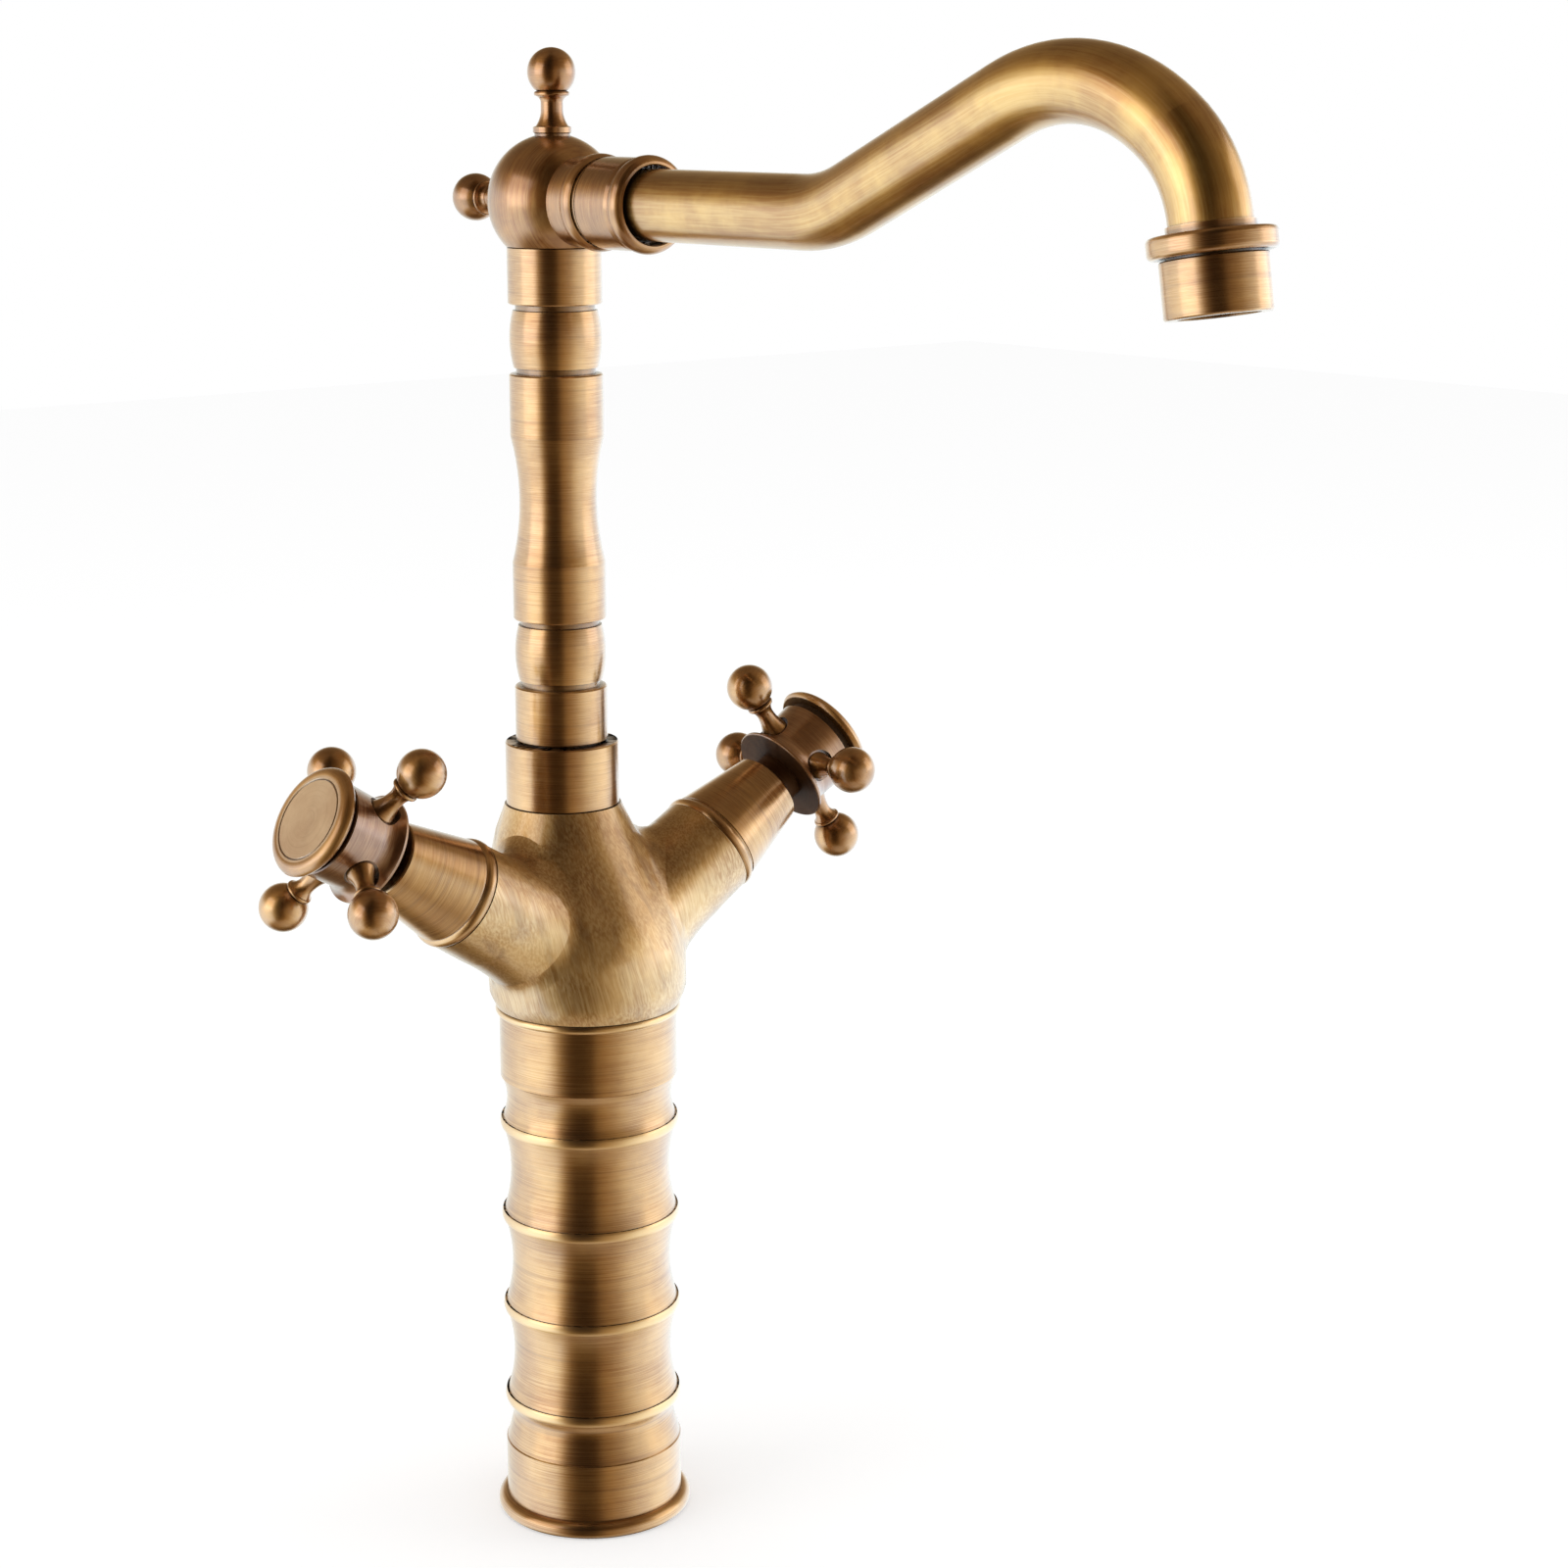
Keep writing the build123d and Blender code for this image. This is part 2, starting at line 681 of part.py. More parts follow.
# Riser: spigot in the socket, neck through the collar, then bands, barrels and a waisted vase
o_ring_centre_r = socket_r - press_gap - o_ring_wire_r
o_ring_floor_r = o_ring_centre_r - o_ring_wire_r - press_gap
o_ring_heights = [riser_foot_z + rise for rise in o_ring_rises]
vase_low_z = vase_z + vase_low_h
vase_high_z = vase_low_z + vase_waist_h
vase_top_z = vase_high_z + vase_high_h
with BuildPart() as riser:
    with BuildSketch(riser_section):
        with BuildLine():
            Polyline(
                (riser_bore_r, riser_top_z + riser_spigot_h),
                (riser_bore_r, riser_foot_z),
                (spigot_r - edge_bevel, riser_foot_z),
                (spigot_r, riser_foot_z + edge_bevel),
                (spigot_r, o_ring_heights[0] - o_ring_w / 2),
                (o_ring_floor_r, o_ring_heights[0] - o_ring_w / 2),
                (o_ring_floor_r, o_ring_heights[0] + o_ring_w / 2),
                (spigot_r, o_ring_heights[0] + o_ring_w / 2),
                (spigot_r, o_ring_heights[1] - o_ring_w / 2),
                (o_ring_floor_r, o_ring_heights[1] - o_ring_w / 2),
                (o_ring_floor_r, o_ring_heights[1] + o_ring_w / 2),
                (spigot_r, o_ring_heights[1] + o_ring_w / 2),
                (spigot_r, ring_low_z),
                (split_ring_groove_r, ring_low_z),
                (split_ring_groove_r, ring_low_z + split_ring_t),
                (riser_neck_r, ring_low_z + split_ring_t),
                (riser_neck_r, low_band_z),
                (riser_r - edge_bevel, low_band_z),
                (riser_r, low_band_z + edge_bevel),
                (riser_r, low_band_z + riser_band_h - edge_bevel),
                (riser_r - edge_bevel, low_band_z + riser_band_h),
                (riser_groove_r, low_band_z + riser_band_h + 0.2),
                (riser_groove_r, low_barrel_z - 0.2),
                (barrel_end_r, low_barrel_z),
            )
            for z in (low_barrel_z, high_barrel_z):
                ThreePointArc(
                    (barrel_end_r, z), (barrel_r, z + barrel_h / 2), (barrel_end_r, z + barrel_h)
                )
            Polyline(
                (barrel_end_r, low_barrel_z + barrel_h),
                (riser_groove_r, low_barrel_z + barrel_h + 0.2),
                (riser_groove_r, vase_z - 0.2),
                (riser_r - edge_bevel, vase_z),
                (riser_r, vase_z + edge_bevel),
                (riser_r, vase_low_z),
            )
            ThreePointArc(
                (riser_r, vase_low_z),
                (vase_waist_r, (vase_low_z + vase_high_z) / 2),
                (riser_r, vase_high_z),
            )
            Polyline(
                (riser_r, vase_high_z),
                (riser_r, vase_top_z - edge_bevel),
                (riser_r - edge_bevel, vase_top_z),
                (riser_groove_r, vase_top_z + 0.2),
                (riser_groove_r, high_barrel_z - 0.2),
                (barrel_end_r, high_barrel_z),
            )
            Polyline(
                (barrel_end_r, high_barrel_z + barrel_h),
                (riser_groove_r, high_barrel_z + barrel_h + 0.2),
                (riser_groove_r, top_band_z - 0.2),
                (riser_r - edge_bevel, top_band_z),
                (riser_r, top_band_z + edge_bevel),
                (riser_r, riser_top_z - edge_bevel),
                (riser_r - edge_bevel, riser_top_z),
                (riser_spigot_r, riser_top_z),
                (riser_spigot_r, riser_top_z + riser_spigot_h),
                (riser_bore_r, riser_top_z + riser_spigot_h),
            )
        make_face()
    revolve(axis=riser_axis)
save(riser, "riser")

for name, z in zip(("riser_o_ring_low", "riser_o_ring_high"), o_ring_heights):
    save(o_ring(riser_section, riser_axis, o_ring_centre_r, z, o_ring_wire_r), name)

# Elbow: a hollow ball on the riser with a forward branch and seats for two finials
branch_bead_start, branch_bead_end = branch_bead_u
with BuildPart() as elbow:
    with Locations((0, riser_y, elbow_z)):
        Sphere(elbow_r)
    with BuildSketch(branch_section):
        with BuildLine():
            Polyline((0, branch_end_u), (0, 0), (branch_r, 0), (branch_r, branch_bead_start))
            ThreePointArc(
                (branch_r, branch_bead_start),
                (branch_bead_r, (branch_bead_start + branch_bead_end) / 2),
                (branch_r, branch_bead_end),
            )
            Polyline(
                (branch_r, branch_bead_end),
                (branch_step_r, branch_bead_end),
                (branch_step_r, nut_start_u - film_gap),
                (branch_thread_r, nut_start_u - film_gap),
                (branch_thread_r, branch_end_u),
                (0, branch_end_u),
            )
        make_face()
    revolve(axis=branch_axis)
    with BuildSketch(Plane.XY.offset(riser_top_z)):
        with Locations((0, riser_y)):
            Circle(elbow_r * 0.78)
    extrude(amount=-elbow_r, mode=Mode.SUBTRACT)
    with BuildSketch(Plane.XY.offset(riser_top_z)):
        with Locations((0, riser_y)):
            Circle(riser_spigot_r + press_gap)
    extrude(amount=elbow_drop, mode=Mode.SUBTRACT)
    with Locations((0, riser_y, elbow_z)):
        Sphere(elbow_cavity_r, mode=Mode.SUBTRACT)
    with BuildSketch(Plane(origin=(0, riser_y, elbow_z), z_dir=(0, -1, 0))):
        Circle(branch_bore_r)
    extrude(amount=branch_end_u, mode=Mode.SUBTRACT)
    for seat_dir in ((0, 0, 1), (0, 1, 0)):
        seat_plane = Plane(origin=(0, riser_y, elbow_z), z_dir=seat_dir).offset(finial_seat)
        with BuildSketch(seat_plane):
            Circle(finial_ring_r + 1)
        extrude(amount=2, mode=Mode.SUBTRACT)
        with BuildSketch(seat_plane):
            Circle(finial_stud_r + press_gap)
        extrude(amount=-finial_stud_length - 0.2, mode=Mode.SUBTRACT)
save(elbow, "elbow")


def finial(section, axis, extra):
    """Turned finial: stud, foot, ring, neck, bead and ball, measured from the elbow's centre."""
    ball = finial_ball_at + extra
    ring_start = finial_seat + 0.6
    ring_end = ring_start + 2.0
    bead = ball - 5.6
    start_r = finial_bead_r - 0.3
    ball_start = ball - sqrt(finial_ball_r**2 - start_r**2)
    with BuildPart() as piece:
        with BuildSketch(section):
            with BuildLine():
                Polyline(
                    (0, ball + finial_ball_r),
                    (0, finial_seat - finial_stud_length),
                    (finial_stud_r, finial_seat - finial_stud_length),
                    (finial_stud_r, finial_seat),
                    (finial_foot_r, finial_seat),
                    (finial_foot_r, ring_start),
                    (finial_ring_r, ring_start + 0.3),
                    (finial_ring_r, ring_end - 0.3),
                    (finial_foot_r - 0.4, ring_end),
                )
                ThreePointArc(
                    (finial_foot_r - 0.4, ring_end),
                    (finial_neck_r + 0.4, ring_end + 2.0),
                    (finial_neck_r, ring_end + 4.6),
                )
                Line((finial_neck_r, ring_end + 4.6), (finial_neck_r, bead - 2.2))
                ThreePointArc(
                    (finial_neck_r, bead - 2.2),
                    (finial_neck_r + 0.5, bead - 1.2),
                    (start_r, bead - 0.6),
                )
                ThreePointArc((start_r, bead - 0.6), (finial_bead_r, bead), (start_r, bead + 0.5))
                Polyline((start_r, bead + 0.5), (start_r - 0.5, bead + 0.75), (start_r, ball_start))
                ThreePointArc((start_r, ball_start), (finial_ball_r, ball), (0, ball + finial_ball_r))
            make_face()
        revolve(axis=axis)
    return piece


top_section = Plane(origin=(0, riser_y, elbow_z), x_dir=(1, 0, 0), z_dir=(0, -1, 0))
rear_section = Plane(origin=(0, riser_y, elbow_z), x_dir=(0, 0, 1), z_dir=(-1, 0, 0))
save(finial(top_section, Axis((0, riser_y, elbow_z), (0, 0, 1)), 0), "finial_top")
save(finial(rear_section, Axis((0, riser_y, elbow_z), (0, 1, 0)), rear_finial_extra), "finial_rear")

# Spout nut with a rounded lip, and the washer it squeezes
washer_end_u = branch_end_u + washer_t
flange_end_u = washer_end_u + tube_flange_t
nut_end_u = nut_start_u + nut_length
lip_start_u = nut_end_u - nut_lip_length
with BuildPart() as spout_nut:
    with BuildSketch(branch_section):
        with BuildLine():
            Polyline(
                (nut_mouth_r + 0.3, nut_end_u),
                (nut_mouth_r, nut_end_u - 0.3),
                (nut_mouth_r, flange_end_u + nut_web_t),
                (nut_web_r, flange_end_u + nut_web_t),
                (nut_web_r, flange_end_u),
                (nut_bore_r, flange_end_u),
                (nut_bore_r, nut_start_u),
                (nut_foot_r, nut_start_u),
                (nut_r, nut_start_u + 1.0),
                (nut_r, lip_start_u - 1.2),
                (nut_r - 0.3, lip_start_u),
                (nut_r, lip_start_u + 0.6),
            )
            ThreePointArc(
                (nut_r, lip_start_u + 0.6),
                (nut_lip_r, lip_start_u + 2.9),
                (nut_mouth_r + 0.9, nut_end_u - 0.1),
            )
            Line((nut_mouth_r + 0.9, nut_end_u - 0.1), (nut_mouth_r + 0.3, nut_end_u))
        make_face()
    revolve(axis=branch_axis)
save(spout_nut, "spout_nut")

spout_gasket = turned(
    branch_section, branch_axis,
    ring_outline(branch_bore_r, tube_flange_r, branch_end_u, washer_end_u),
)
save(spout_gasket, "spout_gasket")

# Spout tube: level run, rising bend, climb, arch and final drop, with a flange behind the nut's web
with BuildPart() as spout_tube:
    with BuildLine(spout_plane) as spout_path:
        level = Line((washer_end_u, elbow_z), (tube_level_end_u, elbow_z))
        low_bend = JernArc(level @ 1, level % 1, low_bend_r, low_bend_angle)
        climb = PolarLine(
            (tube_level_end_u + low_bend_r * sin(radians(low_bend_angle)),
             elbow_z + low_bend_r * (1 - cos(radians(low_bend_angle)))),
            tube_climb, low_bend_angle,
        )
        arch = JernArc(climb @ 1, climb % 1, arch_r, -arch_angle)
        drop = JernArc(arch @ 1, arch % 1, drop_r, -drop_angle)
    with BuildSketch(Plane(origin=level @ 0, z_dir=(0, -1, 0))):
        Circle(tube_r)
        Circle(tube_r - tube_wall, mode=Mode.SUBTRACT)
    sweep()
    with BuildSketch(branch_section):
        with BuildLine():
            Polyline(
                *ring_outline(tube_r - tube_wall / 2, tube_flange_r, washer_end_u, flange_end_u),
                close=True,
            )
        make_face()
    revolve(axis=branch_axis)
save(spout_tube, "spout_tube")
outlet_start = drop @ 1
outlet_dir = drop % 1

# Outlet collar on the tube's end, and the aerator below it
outlet_section = Plane(
    origin=outlet_start, x_dir=(1, 0, 0), z_dir=(0, -outlet_dir.Z, outlet_dir.Y)
)
outlet_axis = Axis(outlet_start, outlet_dir)
ring_end = outlet_neck_t + outlet_ring_t
thread_end = ring_end + outlet_thread_length
spigot_outer_r = tube_r - tube_wall - press_gap
spigot_bore_r = outlet_bore_r - 0.5
with BuildPart() as outlet_collar:
    with BuildSketch(outlet_section):
        with BuildLine():
            Polyline(
                (spigot_bore_r, -outlet_spigot_length),
                (spigot_outer_r - 0.15, -outlet_spigot_length),
                (spigot_outer_r, 0),
                (outlet_neck_r, 0),
                (outlet_neck_r, outlet_neck_t),
                (outlet_ring_r - 1.2, outlet_neck_t),
            )
            ThreePointArc(
                (outlet_ring_r - 1.2, outlet_neck_t),
                (outlet_ring_r - 0.35, outlet_neck_t + 0.35),
                (outlet_ring_r, outlet_neck_t + 1.2),
            )
            Line((outlet_ring_r, outlet_neck_t + 1.2), (outlet_ring_r, ring_end - 1.2))
            ThreePointArc(
                (outlet_ring_r, ring_end - 1.2),
                (outlet_ring_r - 0.35, ring_end - 0.35),
                (outlet_ring_r - 1.2, ring_end),
            )
            Polyline(
                (outlet_ring_r - 1.2, ring_end),
                (outlet_thread_r, ring_end),
                (outlet_thread_r, thread_end),
                (outlet_bore_r, thread_end),
                (outlet_bore_r, 0.5),
                (spigot_bore_r, -outlet_spigot_length),
            )
        make_face()
    revolve(axis=outlet_axis)
save(outlet_collar, "outlet_collar")

housing_start = ring_end + free_gap
housing_end = housing_start + housing_length
aerator_housing = turned(
    outlet_section, outlet_axis,
    [
        (housing_bore_r, housing_start),
        (housing_r - edge_bevel, housing_start),
        (housing_r, housing_start + edge_bevel),
        (housing_r, housing_end - edge_bevel),
        (housing_r - edge_bevel, housing_end),
        (housing_lip_r, housing_end),
        (housing_lip_r, housing_end - housing_lip_t),
        (housing_bore_r, housing_end - housing_lip_t),
    ],
)
save(aerator_housing, "aerator_housing")

gasket_end = thread_end + aerator_gasket_t
aerator_gasket = turned(
    outlet_section, outlet_axis,
    ring_outline(aerator_gasket_bore_r, outlet_thread_r, thread_end, gasket_end),
)
save(aerator_gasket, "aerator_gasket")


def hole_spots(pitch):
    """Centres of a staggered hole pattern inside the perforated circle."""
    rows = int(perforated_r / pitch) + 1
    spots = []
    for row in range(-rows, rows + 1):
        for column_index in range(-rows, rows + 1):
            x = pitch * (column_index + 0.5 * (row % 2))
            y = pitch * row * sqrt(3) / 2
            if hypot(x, y) < perforated_r - pitch / 2:
                spots.append((x, y))
    return spots


def outlet_cross(distance):
    """Plane square to the outlet's axis."""
    return Plane(origin=outlet_start + outlet_dir * distance, x_dir=(1, 0, 0), z_dir=outlet_dir)


with BuildPart() as aerator_screen:
    with BuildSketch(outlet_cross(gasket_end)):
        Circle(outlet_thread_r)
        with Locations(*hole_spots(screen_pitch)):
            Circle(screen_hole_r, mode=Mode.SUBTRACT)
    extrude(amount=screen_t)
save(aerator_screen, "aerator_screen")

jets_start = gasket_end + screen_t
with BuildPart() as aerator_insert:
    with BuildSketch(outlet_cross(jets_start)):
        Circle(outlet_thread_r)
        with Locations(*hole_spots(jet_pitch)):
            Circle(jet_hole_r, mode=Mode.SUBTRACT)
    extrude(amount=housing_end - housing_lip_t - jets_start)
save(aerator_insert, "aerator_insert")


def bonnet(side):
    """Cone-shaped cover that screws into the arm and clamps the valve."""
    ring_start = arm_mouth_s
    cone_start = ring_start + bonnet_ring_w + 0.8
    mouth_start = bonnet_end_s - bonnet_mouth_t
    with BuildPart() as piece:
        with BuildSketch(arm_section(side)):
            with BuildLine():
                Polyline(
                    (bonnet_skirt_bore_r, skirt_s),
                    (valve_mouth_r - press_gap, skirt_s),
                    (valve_mouth_r - press_gap, ring_start),
                    (bonnet_ring_r - 0.7, ring_start),
                )
                ThreePointArc(
                    (bonnet_ring_r - 0.7, ring_start),
                    (bonnet_ring_r, ring_start + bonnet_ring_w * 0.45),
                    (bonnet_ring_r - 0.9, ring_start + bonnet_ring_w),
                )
                Polyline(
                    (bonnet_ring_r - 0.9, ring_start + bonnet_ring_w),
                    (bonnet_big_r - 0.25, ring_start + bonnet_ring_w + 0.2),
                    (bonnet_big_r - 0.25, cone_start - 0.2),
                    (bonnet_big_r, cone_start),
                    (bonnet_small_r + 0.06, bonnet_end_s - 0.5),
                    (bonnet_small_r - 0.5, bonnet_end_s),
                    (bonnet_mouth_r, bonnet_end_s),
                    (bonnet_mouth_r, mouth_start),
                    (bonnet_small_r - bonnet_wall + 0.4, mouth_start),
                    (bonnet_big_r - bonnet_wall, cone_start + 1.0),
                    (bonnet_skirt_bore_r, cone_start - 1.0),
                    (bonnet_skirt_bore_r, skirt_s),
                )
            make_face()
        revolve(axis=arm_axis(side))
    return piece


def valve_body(side):
    """Cartridge body: windowed chamber, sealing shoulder, hexagon and a neck round the spindle."""
    groove_floor_r = valve_r - 2 * valve_o_ring_wire_r - press_gap
    groove_low = seat_s + valve_o_ring_at - valve_o_ring_wire_r - press_gap
    groove_high = seat_s + valve_o_ring_at + valve_o_ring_wire_r + press_gap
    with BuildPart() as piece:
        with BuildSketch(arm_section(side)):
            with BuildLine():
                Polyline(
                    (valve_cavity_r, seat_s + valve_start),
                    (valve_r, seat_s + valve_start),
                    (valve_r, seat_s + valve_waist[0]),
                    (valve_waist_r, seat_s + valve_waist[0]),
                    (valve_waist_r, seat_s + valve_waist[1]),
                    (valve_r, seat_s + valve_waist[1]),
                    (valve_r, groove_low),
                    (groove_floor_r, groove_low),
                    (groove_floor_r, groove_high),
                    (valve_r, groove_high),
                    (valve_r, shoulder_s),
                    (valve_flange_r, shoulder_s),
                    (valve_flange_r, skirt_s),
                    (valve_neck_r, skirt_s),
                    (valve_neck_r, seat_s + valve_neck_end - 0.4),
                    (valve_neck_r - 0.4, seat_s + valve_neck_end),
                    (spindle_r + running_gap, seat_s + valve_neck_end),
                    (spindle_r + running_gap, seat_s + valve_cavity_end),
                    (valve_cavity_r, seat_s + valve_cavity_end),
                    close=True,
                )
            make_face()
        revolve(axis=arm_axis(side))
        with BuildSketch(arm_cross(side, skirt_s)):
            RegularPolygon(valve_hex_flats / 2, 6, major_radius=False)
            Circle(valve_neck_r - 0.5, mode=Mode.SUBTRACT)
        extrude(amount=valve_hex_t)
        window_s = seat_s + valve_cavity_end - 1.0 - valve_window_length
        with BuildSketch(arm_cross(side, window_s)):
            Rectangle(2 * valve_r + 2, valve_window_w)
            Rectangle(valve_window_w, 2 * valve_r + 2)
        extrude(amount=valve_window_length, mode=Mode.SUBTRACT)
    return piece


def disc(side, start, thickness, outer_r, turn, lug_holes):
    """Ceramic disc with two ports, blind holes on its upper face for the spindle's lugs if asked."""
    with BuildPart() as piece:
        with BuildSketch(arm_cross(side, start)):
            Circle(outer_r)
            with PolarLocations(disc_port_at, 2, start_angle=turn):
                Circle(disc_port_r, mode=Mode.SUBTRACT)
        extrude(amount=thickness)
        if lug_holes:
            with BuildSketch(arm_cross(side, start + thickness)):
                with PolarLocations(spindle_lug_at, 2, start_angle=turn + 90):
                    Circle(spindle_lug_r + press_gap)
            extrude(amount=-spindle_lug_t - 0.2, mode=Mode.SUBTRACT)
    return piece


def spline_outline():
    """Corners of the toothed spindle end."""
    corners = []
    step = 2 * pi / spline_teeth
    flanks = ((-0.32, spline_root_r), (-0.18, spline_tip_r), (0.18, spline_tip_r), (0.32, spline_root_r))
    for tooth in range(spline_teeth):
        for share, r in flanks:
            angle = (tooth + share) * step
            corners.append((r * cos(angle), r * sin(angle)))
    return corners


def spindle(side, turn):
    """Valve spindle: driving foot, shaft with grooves for its seal and clip, toothed end."""
    foot_end = spindle_s + spindle_foot_t
    groove_floor_r = spindle_r - 2 * spindle_o_ring_wire_r - press_gap
    seal_low = seat_s + spindle_o_ring_at - spindle_o_ring_wire_r - press_gap
    seal_high = seat_s + spindle_o_ring_at + spindle_o_ring_wire_r + press_gap
    clip_low = seat_s + clip_at - press_gap
    with BuildPart() as piece:
        with BuildSketch(arm_section(side)):
            with BuildLine():
                Polyline(
                    (0, spindle_s),
                    (spindle_foot_r, spindle_s),
                    (spindle_foot_r, foot_end),
                    (spindle_r, foot_end),
                    (spindle_r, seal_low),
                    (groove_floor_r, seal_low),
                    (groove_floor_r, seal_high),
                    (spindle_r, seal_high),
                    (spindle_r, clip_low),
                    (clip_groove_r, clip_low),
                    (clip_groove_r, clip_low + clip_t + 2 * press_gap),
                    (spindle_r, clip_low + clip_t + 2 * press_gap),
                    (spindle_r, seat_s + spline_start - 0.4),
                    (spline_root_r, seat_s + spline_start),
                    (0, seat_s + spline_start),
                    close=True,
                )
            make_face()
        revolve(axis=arm_axis(side))
        with BuildSketch(arm_cross(side, seat_s + spline_start)):
            with BuildLine():
                Polyline(*spline_outline(), close=True)
            make_face()
        extrude(amount=spline_end - spline_start)
        with BuildSketch(arm_cross(side, spindle_s)):
            Rectangle(2 * spindle_foot_r + 2, spindle_slot_w, rotation=turn)
        extrude(amount=spindle_slot_depth, mode=Mode.SUBTRACT)
        with BuildSketch(arm_cross(side, spindle_s)):
            with PolarLocations(spindle_lug_at, 2, start_angle=turn + 90):
                Circle(spindle_lug_r)
        extrude(amount=-spindle_lug_t)
        with BuildSketch(arm_cross(side, seat_s + spline_end)):
            Circle(screw_r + press_gap)
        extrude(amount=-screw_length, mode=Mode.SUBTRACT)
    return piece


def spindle_clip(side):
    with BuildPart() as piece:
        with BuildSketch(arm_cross(side, seat_s + clip_at)):
            Circle(clip_r)
            Circle(clip_groove_r + press_gap, mode=Mode.SUBTRACT)
            with Locations((clip_r, 0)):
                Rectangle(clip_r, 2 * clip_groove_r * 0.9, mode=Mode.SUBTRACT)
        extrude(amount=clip_t)
    return piece


def spoke_section(side, turn):
    """Plane through a spoke: local X along the arm's axis, local Y outwards along the spoke."""
    along = arm_direction(side)
    across = Vector(0, 1, 0)
    up = along.cross(across)
    out = across * cos(radians(turn)) + up * sin(radians(turn))
    return Plane(origin=arm_point(side, spoke_s), x_dir=along, z_dir=along.cross(out)), out


def hub(side, turn):
    """Handle hub: thin rear flange, waist, tail over the spindle, front pocket and spoke seats."""
    spindle_end = seat_s + spline_end + free_gap
    flare_end = hub_start_s + hub_flange_t + hub_flare_length
    with BuildPart() as piece:
        with BuildSketch(arm_section(side)):
            with BuildLine():
                Polyline(
                    (spline_tip_r + press_gap, spindle_end),
                    (spline_tip_r + press_gap, hub_start_s - hub_tail_length),
                    (hub_tail_r, hub_start_s - hub_tail_length),
                    (hub_tail_r, hub_start_s),
                    (hub_flange_r - 0.3, hub_start_s),
                    (hub_flange_r, hub_start_s + 0.3),
                    (hub_flange_r, hub_start_s + hub_flange_t),
                )
                ThreePointArc(
                    (hub_flange_r, hub_start_s + hub_flange_t),
                    (hub_waist_r + 0.28 * hub_flange_step, flare_end - 0.66 * hub_flare_length),
                    (hub_waist_r, flare_end),
                )
                Polyline(
                    (hub_waist_r, flare_end),
                    (hub_front_r, hub_end_s - 0.3),
                    (hub_front_r - 0.3, hub_end_s),
                    (hub_pocket_r, hub_end_s),
                    (hub_pocket_r, pocket_s),
                    (screw_r + press_gap, pocket_s),
                    (screw_r + press_gap, spindle_end),
                    (spline_tip_r + press_gap, spindle_end),
                )
            make_face()
        revolve(axis=arm_axis(side))
        for i in range(spoke_count):
            section, out = spoke_section(side, turn + i * 360 / spoke_count)
            seat = Plane(origin=section.origin + out * spoke_seat_rho, x_dir=section.x_dir, z_dir=out)
            with BuildSketch(seat):
                Circle(spoke_seat_r)
            extrude(amount=4, mode=Mode.SUBTRACT)
            with BuildSketch(seat):
                Circle(spoke_stud_r + press_gap)
            extrude(amount=-spoke_stud_length - 0.1, mode=Mode.SUBTRACT)
    return piece


def spoke(side, turn):
    """Turned spoke: stud, flared foot, thin neck, bead and ball."""
    section, out = spoke_section(side, turn)
    start_r = spoke_bead_r - 0.5
    ball_start = spoke_ball_rho - sqrt(spoke_ball_r**2 - start_r**2)
    with BuildPart() as piece:
        with BuildSketch(section):
            with BuildLine():
                Polyline(
                    (0, spoke_ball_rho + spoke_ball_r),
                    (0, spoke_seat_rho - spoke_stud_length),
                    (spoke_stud_r, spoke_seat_rho - spoke_stud_length),
                    (spoke_stud_r, spoke_seat_rho),
                    (spoke_foot_r, spoke_seat_rho),
                    (spoke_foot_r, spoke_seat_rho + 0.4),
                )
                ThreePointArc(
                    (spoke_foot_r, spoke_seat_rho + 0.4),
                    (spoke_neck_r + 0.35, (spoke_seat_rho + spoke_neck_rho) / 2 + 0.4),
                    (spoke_neck_r, spoke_neck_rho),
                )
                ThreePointArc(
                    (spoke_neck_r, spoke_neck_rho),
                    (spoke_neck_r + 0.3, (spoke_neck_rho + spoke_bead_rho) / 2),
                    (start_r, spoke_bead_rho - 0.7),
                )
                ThreePointArc(
                    (start_r, spoke_bead_rho - 0.7),
                    (spoke_bead_r, spoke_bead_rho - 0.1),
                    (start_r, spoke_bead_rho + 0.5),
                )
                Polyline(
                    (start_r, spoke_bead_rho + 0.5),
                    (start_r - 0.4, spoke_bead_rho + 0.7),
                    (start_r, ball_start),
                )
                ThreePointArc(
                    (start_r, ball_start),
                    (spoke_ball_r, spoke_ball_rho),
                    (0, spoke_ball_rho + spoke_ball_r),
                )
            make_face()
        revolve(axis=Axis(section.origin, out))
    return piece


def handle_screw(side):
    """Socket screw that holds the hub on the spindle."""
    with BuildPart() as piece:
        with BuildSketch(arm_section(side)):
            with BuildLine():
                Polyline(
                    (0, pocket_s - screw_length),
                    (screw_r, pocket_s - screw_length),
                    (screw_r, pocket_s),
                    (screw_head_r, pocket_s),
                    (screw_head_r, pocket_s + screw_head_t - 0.3),
                    (screw_head_r - 0.3, pocket_s + screw_head_t),
                    (0, pocket_s + screw_head_t),
                    close=True,
                )
            make_face()
        revolve(axis=arm_axis(side))
        with BuildSketch(arm_cross(side, pocket_s + screw_head_t)):
            RegularPolygon(screw_key_flats / 2, 6, major_radius=False)
        extrude(amount=-screw_key_depth, mode=Mode.SUBTRACT)
    return piece


